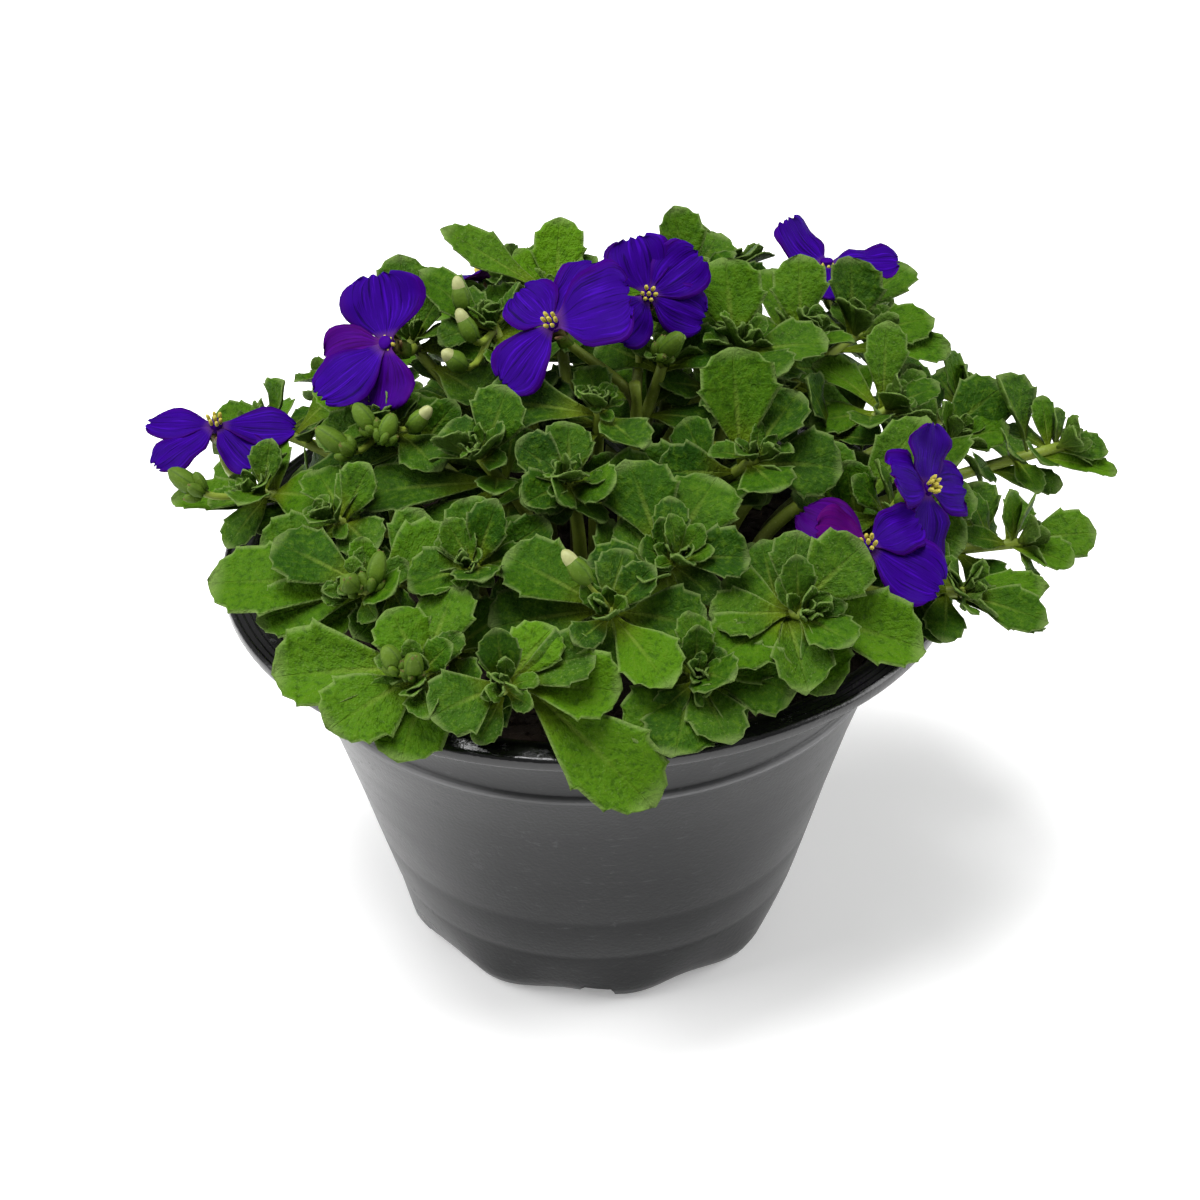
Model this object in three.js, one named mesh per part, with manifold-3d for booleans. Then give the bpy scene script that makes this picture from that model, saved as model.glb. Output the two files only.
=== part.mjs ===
// Potted aubrieta: a low round nursery pot of potting soil, from which leafy shoots rise in a loose
// mound that carries a few four-petalled violet flowers and buds.
// Millimetres, +Z up. The origin is the middle of the pot's flat base, and the front is on the -Y side.
import * as THREE from "three";
import { mergeVertices } from "three/addons/utils/BufferGeometryUtils.js";
import Module from "manifold-3d";

const wasm = await Module();
wasm.setup();

// The pot
const POT_HEIGHT = 69;
const RIM_RADIUS = 60;
const BRIM_WIDTH = 5;
const BRIM_THICKNESS = 2.2;
const COLLAR_RADIUS = 53.4;
const STEP_HEIGHT = 52.4;
const STEP_RADIUS = 47.8;
const STEP_DEPTH = 0.5;
const KNUCKLE_HEIGHT = 4.6;
const KNUCKLE_RADIUS = 32.8;
const FOOT_RADIUS = 28.5;
const WALL = 1.3;
const FLOOR = 1.5;
const POT_SIDES = 32;
const DRAIN_HOLES = 6;
const DRAIN_RADIUS = 3;
const DRAIN_CIRCLE = 30.5;

// The soil
const SOIL_EDGE_HEIGHT = 59.5;
const SOIL_CROWN = 3;
const SOIL_GAP = 0.7;
const SOIL_LUMP = 1.1;
const SOIL_SIDES = 20;

// The shoots
const STEM_RADIUS = 1.4;
const STEM_SIDES = 3;
const STEM_STEPS = 3;
const STEM_DEPTH = 4;
const STEM_GAP = 0.3;
const SOCKET_GAP = 0.55;
const ROOT_SPREAD = 0.42;
const HEART_RADIUS = 3.4;
const HEART_TOP = 3.4;
const HEART_SINK = 2;
const HEART_TAIL = 12;
const HEART_SIDES = 4;
const BLOOM_STALK_FROM = 0.93;
const BUD_STALK_FROM = 0.95;
const LEAN_AT_RIM = 48;

// The blades
const BLADE_THICKNESS = 0.64;
const CLEARANCE = 0.25;
// Detail finer than this is smoothed away where a shoot's pieces are fused
const FINEST = 0.03;

const SEED = 20451;
const DEGREE = Math.PI / 180;
const UP = new THREE.Vector3(0, 0, 1);

// Half outlines of the blades beyond their neck: how far along, and how far out of the half width.
// A dip in the half width is the notch under a tooth.
const LARGE_LEAF = [[0.42, 0.52], [0.64, 1], [0.7, 0.8], [0.84, 0.76], [0.88, 0.48]];
const MIDDLE_LEAF = [[0.6, 1], [0.7, 0.8], [0.87, 0.64]];
const SMALL_LEAF = [[0.52, 0.9], [0.8, 0.84]];
const PETAL = [[0.6, 0.9], [0.92, 0.8]];
// Leaves turn their faces from their own shoot's axis towards the light
const LIGHT = [-90, 58];
const OWN_FACE = 0.6;
const LEAF_NECK = { reach: 4.6, half: 0.85, thickness: 0.9 };
const PETAL_NECK = { reach: 3, half: 1.1, thickness: 0.8 };
const SUNK = 0.6;
const LEAF_TWIST = 0.24;
const PETAL_TWIST = 0.06;
const LARGE_FROM = 17;
const SMALL_BELOW = 11.5;

// Each shoot: where its heart is, how many leaves the rule adds, and the leaves seen from the front
// as heading (0 is +X, 90 is +Y), pitch, length, width and droop. An optional sixth value is how far
// below the heart the leaf leaves the stem.
const SHOOTS = [
  { heart: [-35, -35, 84], more: 2, leaves: [[180, 8, 28, 15, 20, 6], [163, 24, 17, 12, 15],
    [192, -4, 20, 11, 15, 5], [205, -12, 20, 10, 20, 8], [20, 28, 15, 13, 20]] },
  { heart: [-40, -19, 87], more: 3, leaves: [[187, -6, 17, 10, 10, 6], [-65, 10, 10, 9, 25],
    [60, 50, 9, 8, 10]] },
  { heart: [-53, -5, 84], more: 3, leaves: [[176, 2, 21, 9, 10, 7], [12, 14, 17, 11, 20],
    [-35, 20, 10, 9, 20]] },
  { heart: [-26, -52, 79], more: 1, leaves: [[183, 2, 24, 15, 15, 5], [218, -4, 18, 14, 20, 4],
    [252, -14, 17, 14, 25, 6], [130, 45, 11, 10, 10], [60, 48, 14, 11, 10]] },
  { heart: [-13, -57, 80], more: 1, leaves: [[-31, -22, 29, 15, 34, 6], [-8, 2, 17, 12, 15],
    [215, 2, 13, 12, 20], [35, 40, 11, 10, 10]] },
  { heart: [-18, -37, 89], more: 3, leaves: [[100, 50, 11, 10, 10], [202, 2, 11, 10, 20],
    [-15, 25, 9, 7, 20]] },
  { heart: [-17, -17, 97], more: 1, leaves: [[181, -8, 24, 13, 15, 9], [45, 40, 13, 12, 15],
    [216, -20, 18, 13, 20, 9], [140, 25, 9, 8, 10]] },
  { heart: [-3, -25, 97], more: 2, leaves: [[90, 50, 10, 9, 10], [222, 8, 9, 8, 15],
    [5, 22, 15, 10, 45, 5], [-40, 15, 9, 8, 15]] },
  { heart: [3, -46, 86], more: 1, leaves: [[163, 28, 18, 13, 20], [-60, -18, 17, 11, 15],
    [192, -6, 18, 13, 20, 5], [70, 45, 10, 8, 10]] },
  { heart: [13, -38, 90], more: 1, leaves: [[188, 4, 13, 10, 20], [-10, 14, 12, 10, 20],
    [118, 52, 17, 12, 15, 6], [48, 42, 16, 13, 20, 5], [-88, -22, 15, 13, 15, 5]] },
  { heart: [32, -43, 83], more: 1, leaves: [[170, 18, 12, 11, 20], [228, -8, 16, 14, 20, 4],
    [-48, 6, 12, 11, 15], [-12, -8, 23, 14, 15, 6], [22, 22, 15, 12, 15], [-55, -16, 17, 12, 20, 8]] },
  { heart: [16, -52, 78], more: 1, leaves: [[-102, -14, 15, 13, 15], [232, -18, 15, 12, 15],
    [-30, 8, 12, 10, 20]] },
  { heart: [58, -28, 77], more: 1, leaves: [[-22, -4, 16, 10, 12], [-12, -12, 18, 12, 12, 5],
    [2, 2, 19, 10, 15, 6], [100, 40, 11, 6, 10], [200, 30, 9, 7, 15]] },
  { heart: [69, -12, 76], more: 1, leaves: [[8, 6, 15, 12, 15], [-24, -2, 11, 9, 15],
    [70, 22, 11, 8, 15], [-150, 30, 10, 6, 15]] },
  { heart: [78, 10, 81], more: 0, leaves: [[2, 2, 10, 7, 15], [100, 60, 9, 6, 10],
    [-8, -6, 15, 6, 12, 6], [-4, -10, 14, 8, 10, 14], [150, 30, 9, 7, 15]] },
  { heart: [60, 9, 83], more: 1, leaves: [[30, 30, 17, 14, 20, 4], [8, 14, 12, 10, 20],
    [120, 35, 12, 9, 15]] },
  { heart: [49, -18, 85], more: 1, leaves: [[40, 42, 22, 11, 25, 9], [12, 12, 15, 12, 20],
    [200, 10, 13, 11, 20]] },
  { heart: [26, -18, 96], more: 0, leaves: [[98, 72, 19, 14, 12, 4], [32, 48, 14, 10, 15],
    [-15, 24, 17, 12, 50, 5], [182, 8, 16, 10, 30, 6], [-70, 20, 12, 10, 25]] },
  { heart: [50, 8, 90], more: 1, leaves: [[78, 64, 15, 11, 12], [190, 4, 12, 10, 20],
    [20, 20, 11, 8, 15], [150, 40, 14, 10, 30]] },
  { heart: [46, 30, 92], more: 1, leaves: [[78, 50, 14, 11, 15], [10, 16, 15, 10, 15],
    [3, 4, 20, 7, 12, 6], [180, 30, 11, 9, 15]] },
  { heart: [37, 20, 97], more: 1, leaves: [[88, 64, 15, 10, 10], [98, 34, 18, 10, 15, 5],
    [-40, 30, 11, 7, 20], [190, 20, 11, 9, 20]] },
  { heart: [25, 8, 102], more: 1, leaves: [[96, 64, 16, 13, 15], [150, 32, 9, 8, 10],
    [8, 12, 16, 10, 25], [165, 40, 14, 11, 25, 8], [-50, 20, 12, 10, 25]] },
  { heart: [12.5, 3.5, 102], more: 1, leaves: [[5, 30, 12, 10, 20], [-120, 10, 12, 9, 20],
    [150, 20, 12, 10, 20]] },
  { heart: [18, 26, 104], more: 2, leaves: [[60, 38, 13, 10, 15], [112, 68, 15, 9, 10],
    [190, 15, 12, 9, 20]] },
  { heart: [-5, 25, 103], more: 2, leaves: [[84, 66, 15, 10, 12], [186, 16, 13, 9, 20],
    [140, 46, 12, 6, 10]] },
  { heart: [-15, 13, 104], more: 1, leaves: [[158, 46, 19, 9, 20, 5], [20, 20, 10, 8, 20],
    [-60, 15, 11, 9, 20]] },
  { heart: [-29, 16, 100], more: 1, leaves: [[-20, 16, 14, 12, 20], [110, 60, 16, 10, 15],
    [-48, 2, 16, 11, 20, 6], [200, 10, 12, 9, 20]] },
  { heart: [-32, -3, 95], more: 1, leaves: [[180, 4, 13, 10, 20], [148, 18, 19, 7, 10, 5],
    [-60, 6, 13, 9, 25], [60, 12, 10, 8, 10]] },
  { heart: [2, -11, 102], more: 1, leaves: [[176, 14, 18, 14, 25], [100, 30, 10, 7, 15],
    [-60, 10, 12, 9, 25], [10, 20, 10, 8, 15]] },
  { heart: [-12, 45, 96], more: 5, leaves: [] },
  { heart: [24, 46, 97], more: 5, leaves: [] },
  { heart: [47, 50, 86], more: 5, leaves: [[30, 32, 15, 11, 20]] },
  { heart: [-54, 20, 82], more: 5, leaves: [] },
  { heart: [-42, 42, 78], more: 5, leaves: [] },
  { heart: [-20, 62, 80], more: 5, leaves: [] },
  { heart: [8, 64, 82], more: 5, leaves: [] },
  { heart: [66, 32, 77], more: 5, leaves: [] },
];

// Each bloom: the shoot it grows from, its centre, where it faces (heading, pitch), and for each
// petal its angle round the centre, its lift out of the flower's plane, length, width and droop.
const BLOOMS = [
  { shoot: 2, centre: [-60, 6, 90], faces: [-95, 72],
    petals: [[170, 0, 11.5, 8, 10], [218, 0, 12, 9, 10], [-48, -5, 10, 9, 15], [-2, 0, 12.5, 9, 10]] },
  { shoot: 26, centre: [-31.5, 3, 106], faces: [-125, 38],
    petals: [[92, 6, 11, 14, -10], [192, 10, 11, 10, 10], [222, 15, 13.5, 9, -10],
      [258, 5, 10.5, 12, 15]] },
  { shoot: 28, centre: [-5, -4, 112.5], faces: [-125, 52],
    petals: [[8, 6, 13, 14, 10], [128, 5, 9, 9, 10], [219, -6, 12, 10, 10], [55, -6, 12.5, 10, 10]] },
  { shoot: 22, centre: [10, 6, 112], faces: [-86, 39],
    petals: [[104, 4, 9.5, 10, 0], [38, 2, 10.5, 9, 5], [-22, 0, 9.5, 8, 10], [228, 4, 8.5, 9, 10]] },
  { shoot: 31, centre: [41, 42, 99], faces: [90, 86],
    petals: [[142, 14, 10.5, 10, -45], [208, -8, 12.5, 8, 15], [0, 4, 12, 11, 8], [-70, -12, 9, 8, 20]] },
  { shoot: 16, centre: [52.3, -21, 91.6], faces: [-30, 38],
    petals: [[105, 12, 10, 9, -20], [185, 12, 9.5, 9, 10], [-75, -10, 11, 9, 25], [20, 5, 10, 9, 15]] },
  { shoot: 16, centre: [42.5, -31, 87.5], faces: [-95, 60],
    petals: [[-30, -6, 12.5, 10, 12], [28, 4, 9, 8, 12], [172, 12, 8.5, 10, -20], [143, 0, 12, 8, 10]] },
  { shoot: 34, centre: [-18, 64, 86], faces: [100, 58],
    petals: [[10, 5, 11, 11, 10], [98, 0, 11, 11, 10], [188, 5, 11, 10, 10], [280, 8, 11, 11, 10]] },
];
const CALYX_LENGTH = 5.2;
const CALYX_RADIUS = 1.5;
const PEDICEL_RADIUS = 0.8;
const THROAT_RADIUS = 1.5;
const THROAT_HEIGHT = 1.6;
const ANTHERS = 6;
const ANTHER_RING = 1.7;
const ANTHER_HEIGHT = 1.3;

// Each bud: its shoot, where its middle is, its heading and pitch, its length, and whether it shows
// a pale tip.
const BUDS = [
  { shoot: 25, centre: [-20, 12, 110], points: [120, 70], length: 6, pale: true },
  { shoot: 25, centre: [-19, 6, 107.5], points: [150, 60], length: 6, pale: true },
  { shoot: 25, centre: [-21, 1, 104], points: [190, 45], length: 5, pale: true },
  { shoot: 27, centre: [-26, -8, 98.5], points: [-10, 50], length: 5.5, pale: true },
  { shoot: 27, centre: [-40, -9, 95.5], points: [165, 35], length: 6.5, pale: false },
  { shoot: 8, centre: [-2, -44, 93], points: [150, 45], length: 6.5, pale: true },
  { shoot: 0, centre: [-32, -37, 89], points: [60, 60], length: 5.5, pale: false },
  { shoot: 0, centre: [-36, -39.5, 88], points: [-100, 50], length: 4.5, pale: false },
  { shoot: 3, centre: [-26, -55, 83.5], points: [-90, 70], length: 4.5, pale: false },
  { shoot: 3, centre: [-29.5, -53, 83.5], points: [150, 60], length: 4, pale: false },
  { shoot: 2, centre: [-64, -8, 88], points: [165, 35], length: 6, pale: false },
  { shoot: 22, centre: [13.5, -1, 107], points: [-20, 50], length: 5.5, pale: false },
];
const BUD_WIDTH = 3.2;
const PALE_TIP = 0.3;

const COLOURS = {
  pot: 0x2d2e30,
  soil: 0x1d1612,
  leaf: 0x4c7a32,
  petal: 0x3d10a8,
  anther: 0xc9b94a,
  pale: 0xe6e2b4,
};

// Draw between 0 and 1, fixed for each shoot, leaf and use
function draw(shoot, leaf, use) {
  let t = (SEED + shoot * 7919 + leaf * 613 + use * 31 + 0x6d2b79f5) | 0;
  t = Math.imul(t ^ (t >>> 15), t | 1);
  t ^= t + Math.imul(t ^ (t >>> 7), t | 61);
  return ((t ^ (t >>> 14)) >>> 0) / 4294967296;
}

function vector(list) {
  return new THREE.Vector3(...list);
}

function direction(heading, pitch) {
  const flat = Math.cos(pitch * DEGREE);
  return new THREE.Vector3(
    flat * Math.cos(heading * DEGREE),
    flat * Math.sin(heading * DEGREE),
    Math.sin(pitch * DEGREE),
  );
}

// A solid from points and triangles, turned to face outwards
function solidOf(points, triangles) {
  const make = (list) =>
    new wasm.Manifold(
      new wasm.Mesh({
        numProp: 3,
        vertProperties: new Float32Array(points),
        triVerts: new Uint32Array(list),
      }),
    );
  const made = make(triangles);
  if (made.volume() > 0) return made;
  return make(triangles.slice().reverse());
}

function solidFromGeometry(geometry) {
  const bare = geometry.clone();
  bare.deleteAttribute("normal");
  bare.deleteAttribute("uv");
  const merged = mergeVertices(bare, 1e-4);
  return solidOf([...merged.attributes.position.array], [...merged.index.array]);
}

function joined(solids) {
  return solids.reduce((all, next) => all.add(next));
}

// A blade with a pointed root, a neck, and a flat part that bends along its length. It leaves its
// root in the direction along, and face is the side that looks up.
function blade(outline, neck, { root, along, face, length, width, droop, twist }, grow = 0) {
  const side = new THREE.Vector3().crossVectors(face, along);
  const bend = (Math.abs(droop) < 1 ? 1 : droop) * DEGREE;
  const reach = length + grow;
  const half = width / 2 + grow;
  const points = root.clone().addScaledVector(along, -SUNK).toArray();
  const place = (u, v, thickness) => {
    const turned = bend * u;
    const radius = reach / bend;
    const normal = face.clone().multiplyScalar(Math.cos(turned)).addScaledVector(along, Math.sin(turned));
    const middle = root
      .clone()
      .addScaledVector(along, radius * Math.sin(turned))
      .addScaledVector(face, radius * (Math.cos(turned) - 1));
    const lift = normal.clone().multiplyScalar(thickness / 2 + grow);
    for (const level of [1, -1]) {
      for (const edge of v === 0 ? [0] : [v, -v]) {
        const out = edge * half;
        const point = middle.clone().addScaledVector(side, out).addScaledVector(normal, twist * out * u);
        points.push(...point.addScaledVector(lift, level).toArray());
      }
    }
  };
  place(neck.reach / length, neck.half / half, neck.thickness);
  outline.forEach(([u, v]) => place(u, v, BLADE_THICKNESS));
  place(1, 0, BLADE_THICKNESS);
  const faces = [0, 2, 1, 0, 3, 4, 1, 3, 0, 2, 0, 4];
  for (let i = 0; i < outline.length; i++) {
    const [a, b, c, d] = [1, 2, 3, 4].map((n) => n + 4 * i);
    const [e, f, g, h] = [a + 4, b + 4, c + 4, d + 4];
    faces.push(a, b, e, b, f, e, c, g, d, d, g, h, e, g, a, a, g, c, b, d, f, f, d, h);
  }
  const [a, b, c, d] = [1, 2, 3, 4].map((n) => n + 4 * outline.length);
  const [top, bottom] = [a + 4, a + 5];
  faces.push(a, b, top, c, bottom, d, top, bottom, a, a, bottom, c, b, d, top, top, d, bottom);
  return solidOf(points, faces);
}

function tube(path, radius, sides, steps) {
  const section = new THREE.Shape();
  for (let i = 0; i < sides; i++) {
    const turn = (2 * Math.PI * i) / sides;
    const x = radius * Math.cos(turn);
    const y = radius * Math.sin(turn);
    if (i === 0) section.moveTo(x, y);
    else section.lineTo(x, y);
  }
  return solidFromGeometry(
    new THREE.ExtrudeGeometry(section, { steps, extrudePath: path, bevelEnabled: false }),
  );
}

// A round form turned about its own axis, then stood along a direction at a place
function turned(profile, sides, axis, place) {
  const geometry = new THREE.LatheGeometry(profile.map(([r, z]) => new THREE.Vector2(r, z)), sides);
  geometry.applyQuaternion(
    new THREE.Quaternion().setFromUnitVectors(new THREE.Vector3(0, 1, 0), axis),
  );
  geometry.translate(place.x, place.y, place.z);
  return solidFromGeometry(geometry);
}

function potSolid() {
  const collarTop = POT_HEIGHT - BRIM_THICKNESS;
  const profile = [
    [0, 0], [FOOT_RADIUS, 0], [FOOT_RADIUS + 3, 1.4], [KNUCKLE_RADIUS, KNUCKLE_HEIGHT],
    [STEP_RADIUS, STEP_HEIGHT - 0.3], [STEP_RADIUS - STEP_DEPTH, STEP_HEIGHT + 0.4],
    [COLLAR_RADIUS, collarTop], [RIM_RADIUS, collarTop], [RIM_RADIUS, POT_HEIGHT - 0.6],
    [RIM_RADIUS - 0.7, POT_HEIGHT], [RIM_RADIUS - BRIM_WIDTH, POT_HEIGHT],
    [COLLAR_RADIUS - WALL - 0.4, collarTop - 1.6], [STEP_RADIUS - WALL, STEP_HEIGHT + 0.3],
    [KNUCKLE_RADIUS - WALL, KNUCKLE_HEIGHT], [FOOT_RADIUS, FLOOR], [0, FLOOR],
  ];
  let pot = turned(profile, POT_SIDES, UP, new THREE.Vector3());
  for (let i = 0; i < DRAIN_HOLES; i++) {
    const turn = (2 * Math.PI * (i + 0.5)) / DRAIN_HOLES;
    const hole = new THREE.CylinderGeometry(DRAIN_RADIUS, DRAIN_RADIUS, 6, 8);
    hole.rotateX(Math.PI / 2);
    hole.translate(DRAIN_CIRCLE * Math.cos(turn), DRAIN_CIRCLE * Math.sin(turn), 0);
    pot = pot.subtract(solidFromGeometry(hole));
  }
  return pot;
}

function soilHeight(radius) {
  return SOIL_EDGE_HEIGHT + SOIL_CROWN * (1 - (radius / STEP_RADIUS) ** 2);
}

function soilSolid() {
  const inner = WALL + SOIL_GAP;
  const top = [];
  for (const radius of [45, 34, 20, 0]) top.push([radius, soilHeight(radius)]);
  const profile = [
    [0, FLOOR + SOIL_GAP], [FOOT_RADIUS - 1, FLOOR + SOIL_GAP],
    [KNUCKLE_RADIUS - inner - 0.2, KNUCKLE_HEIGHT + 0.3], [STEP_RADIUS - inner - 0.2, STEP_HEIGHT + 0.3],
    [48, SOIL_EDGE_HEIGHT - 0.8], ...top,
  ];
  const geometry = new THREE.LatheGeometry(profile.map(([r, z]) => new THREE.Vector2(r, z)), SOIL_SIDES);
  geometry.rotateX(Math.PI / 2);
  const place = geometry.attributes.position;
  for (let i = 0; i < place.count; i++) {
    const radius = Math.hypot(place.getX(i), place.getY(i));
    if (place.getZ(i) < SOIL_EDGE_HEIGHT - 0.5) continue;
    const turn = Math.round((Math.atan2(place.getY(i), place.getX(i)) / Math.PI) * SOIL_SIDES);
    const spot = radius < 1 ? 0 : ((turn + 2 * SOIL_SIDES) % (2 * SOIL_SIDES)) + 1;
    const lump = draw(Math.round(radius), spot, 9) - 0.5;
    place.setZ(i, place.getZ(i) + 2 * SOIL_LUMP * lump);
  }
  return solidFromGeometry(geometry);
}

// Where a shoot's heart looks: straight up in the middle of the mound, and outwards at the rim
function shootAxis(heart) {
  const reach = Math.hypot(heart.x, heart.y);
  const lean = LEAN_AT_RIM * Math.min(1.2, reach / RIM_RADIUS) ** 1.5;
  return direction(Math.atan2(heart.y, heart.x) / DEGREE, 90 - lean);
}

function stemPath(heart, depth = STEM_DEPTH) {
  const reach = Math.hypot(heart.x, heart.y);
  const foot = new THREE.Vector3(heart.x * ROOT_SPREAD, heart.y * ROOT_SPREAD, 0);
  const ground = soilHeight(reach * ROOT_SPREAD);
  foot.z = ground - depth;
  const rise = heart.z - ground + STEM_DEPTH;
  const outward = direction(Math.atan2(heart.y, heart.x) / DEGREE, 90 - Math.min(78, 1.35 * reach));
  const first = foot.clone().setZ(ground - STEM_DEPTH + 0.62 * rise);
  const last = heart.clone().addScaledVector(outward, -0.36 * Math.hypot(rise, reach * 0.58));
  return new THREE.CubicBezierCurve3(foot, first, last, heart);
}

// The leaves of one shoot: those seen in front first, then each further leaf in the widest gap
// between the headings that are taken, higher and shorter as it nears the heart.
function leavesOf(shoot, number) {
  const heart = vector(shoot.heart);
  const axis = shootAxis(heart);
  const tilt = Math.acos(axis.z) / DEGREE;
  const away = Math.atan2(heart.y, heart.x) / DEGREE;
  const leaves = shoot.leaves.map(([heading, pitch, length, width, droop, below]) => ({
    heading, pitch, length, width, droop, below: below ?? 2.5,
  }));
  const seen = leaves.length;
  const total = seen + shoot.more;
  for (let k = seen; k < total; k++) {
    const taken = leaves.map((leaf) => ((leaf.heading % 360) + 360) % 360).sort((a, b) => a - b);
    let heading = 360 * draw(number, k, 1);
    let widest = -1;
    taken.forEach((start, i) => {
      const end = i + 1 < taken.length ? taken[i + 1] : taken[0] + 360;
      if (end - start > widest) {
        widest = end - start;
        heading = (start + end) / 2;
      }
    });
    heading += 24 * (draw(number, k, 2) - 0.5);
    const inward = total > 1 ? k / (total - 1) : 0;
    const level = -tilt * Math.cos((heading - away) * DEGREE);
    const length = (17.5 - 8.5 * inward) * (0.88 + 0.24 * draw(number, k, 3));
    leaves.push({
      heading,
      pitch: level + 8 + 42 * inward + 12 * (draw(number, k, 4) - 0.5),
      length,
      width: length * (0.62 + 0.14 * draw(number, k, 5)),
      droop: 26 - 20 * inward,
      below: 5.5 - 4 * inward,
    });
  }
  return leaves;
}

// Ways to bend a leaf clear of its neighbours, tried in order: turn, lift and share of its length
const BENDS = [
  [0, 0, 1], [0, 9, 1], [11, 4, 1], [-11, 4, 1], [0, -9, 1], [0, 18, 1], [20, 10, 0.95], [-20, 10, 0.95],
  [0, 27, 0.95], [0, 12, 0.82], [22, 0, 0.82], [-22, 0, 0.82], [30, 22, 0.82], [-30, 22, 0.82],
  [0, 36, 0.8], [0, -18, 0.8], [0, 20, 0.66], [25, 30, 0.66], [-25, 30, 0.66],
];

function leafPose({ stem, axis, leaves }, number, k, [turn, lift, share]) {
  const leaf = leaves[k];
  const along = direction(leaf.heading + turn, Math.min(84, leaf.pitch + lift));
  const open = axis.clone().multiplyScalar(OWN_FACE).add(direction(...LIGHT));
  const face = open.addScaledVector(along, -open.dot(along)).normalize();
  return {
    root: stem.getPointAt(1 - leaf.below / stem.getLength()),
    along,
    face,
    length: leaf.length * share,
    width: leaf.width * Math.sqrt(share),
    droop: leaf.droop,
    twist: LEAF_TWIST * (draw(number, k, 6) - 0.5),
  };
}

function outlineFor(length) {
  if (length >= LARGE_FROM) return LARGE_LEAF;
  return length < SMALL_BELOW ? SMALL_LEAF : MIDDLE_LEAF;
}

// Solids already placed, with their boxes, so that a new one is only compared with what is near it
class Neighbours {
  constructor() {
    this.list = [];
  }

  add(owner, solid) {
    this.list.push({ owner, solid, box: solid.boundingBox() });
  }

  meets(owner, solid) {
    const box = solid.boundingBox();
    return this.list.find(
      (other) =>
        other.owner !== owner &&
        box.min.every((low, i) => low <= other.box.max[i]) &&
        box.max.every((high, i) => high >= other.box.min[i]) &&
        !solid.intersect(other.solid).isEmpty(),
    );
  }
}

function petalPose(bloom, [angle, lift, length, width, droop]) {
  const normal = direction(...bloom.faces);
  const across = new THREE.Vector3(1, 0, 0).addScaledVector(normal, -normal.x).normalize();
  const upward = new THREE.Vector3().crossVectors(normal, across);
  const flat = across
    .multiplyScalar(Math.cos(angle * DEGREE))
    .addScaledVector(upward, Math.sin(angle * DEGREE));
  const along = flat
    .multiplyScalar(Math.cos(lift * DEGREE))
    .addScaledVector(normal, Math.sin(lift * DEGREE));
  const face = normal.clone().addScaledVector(along, -normal.dot(along)).normalize();
  return { root: vector(bloom.centre), along, face, length, width, droop, twist: PETAL_TWIST };
}

function petalsSolid(bloom) {
  const normal = direction(...bloom.faces);
  const throat = turned(
    [[0, 0], [THROAT_RADIUS, 0], [THROAT_RADIUS, THROAT_HEIGHT], [0, THROAT_HEIGHT]],
    6, normal, vector(bloom.centre).addScaledVector(normal, -THROAT_HEIGHT / 2),
  );
  const petals = bloom.petals.map((petal) => blade(PETAL, PETAL_NECK, petalPose(bloom, petal)));
  return joined([throat, ...petals]);
}

// A ring of anthers round a low cone, just clear of the throat
function anthersSolid(bloom) {
  const normal = direction(...bloom.faces);
  const seat = vector(bloom.centre).addScaledVector(normal, THROAT_HEIGHT / 2 + STEM_GAP);
  const star = new THREE.Shape();
  for (let i = 0; i < 2 * ANTHERS; i++) {
    const turn = (Math.PI * i) / ANTHERS;
    const radius = i % 2 === 0 ? ANTHER_RING : 0.5 * ANTHER_RING;
    if (i === 0) star.moveTo(radius, 0);
    else star.lineTo(radius * Math.cos(turn), radius * Math.sin(turn));
  }
  const ring = new THREE.ExtrudeGeometry(star, { depth: ANTHER_HEIGHT, bevelEnabled: false });
  ring.applyQuaternion(new THREE.Quaternion().setFromUnitVectors(UP, normal));
  ring.translate(seat.x, seat.y, seat.z);
  const cone = [[0, 0.3], [0.45 * ANTHER_RING, 0.3], [0, 1.5 * ANTHER_HEIGHT]];
  return solidFromGeometry(ring).add(turned(cone, 5, normal, seat));
}

function stalk(stem, bottomOfHead, headAxis, start) {
  const from = stem.getPointAt(start);
  const gap = from.distanceTo(bottomOfHead);
  const path = new THREE.CubicBezierCurve3(
    from,
    from.clone().addScaledVector(stem.getTangentAt(start), 0.35 * gap),
    bottomOfHead.clone().addScaledVector(headAxis, -0.35 * gap),
    bottomOfHead.clone().addScaledVector(headAxis, 0.8),
  );
  return tube(path, PEDICEL_RADIUS, 3, 2);
}

function calyxSolid(bloom) {
  const normal = direction(...bloom.faces);
  const top = vector(bloom.centre).addScaledVector(normal, -THROAT_HEIGHT / 2 - STEM_GAP);
  const base = top.clone().addScaledVector(normal, -CALYX_LENGTH);
  return turned(
    [[0, 0], [CALYX_RADIUS, 0.3 * CALYX_LENGTH], [0.85 * CALYX_RADIUS, CALYX_LENGTH], [0, CALYX_LENGTH]],
    5, normal, base,
  );
}

function calyxBase(bloom) {
  const normal = direction(...bloom.faces);
  return vector(bloom.centre).addScaledVector(normal, -THROAT_HEIGHT / 2 - STEM_GAP - CALYX_LENGTH);
}

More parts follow.
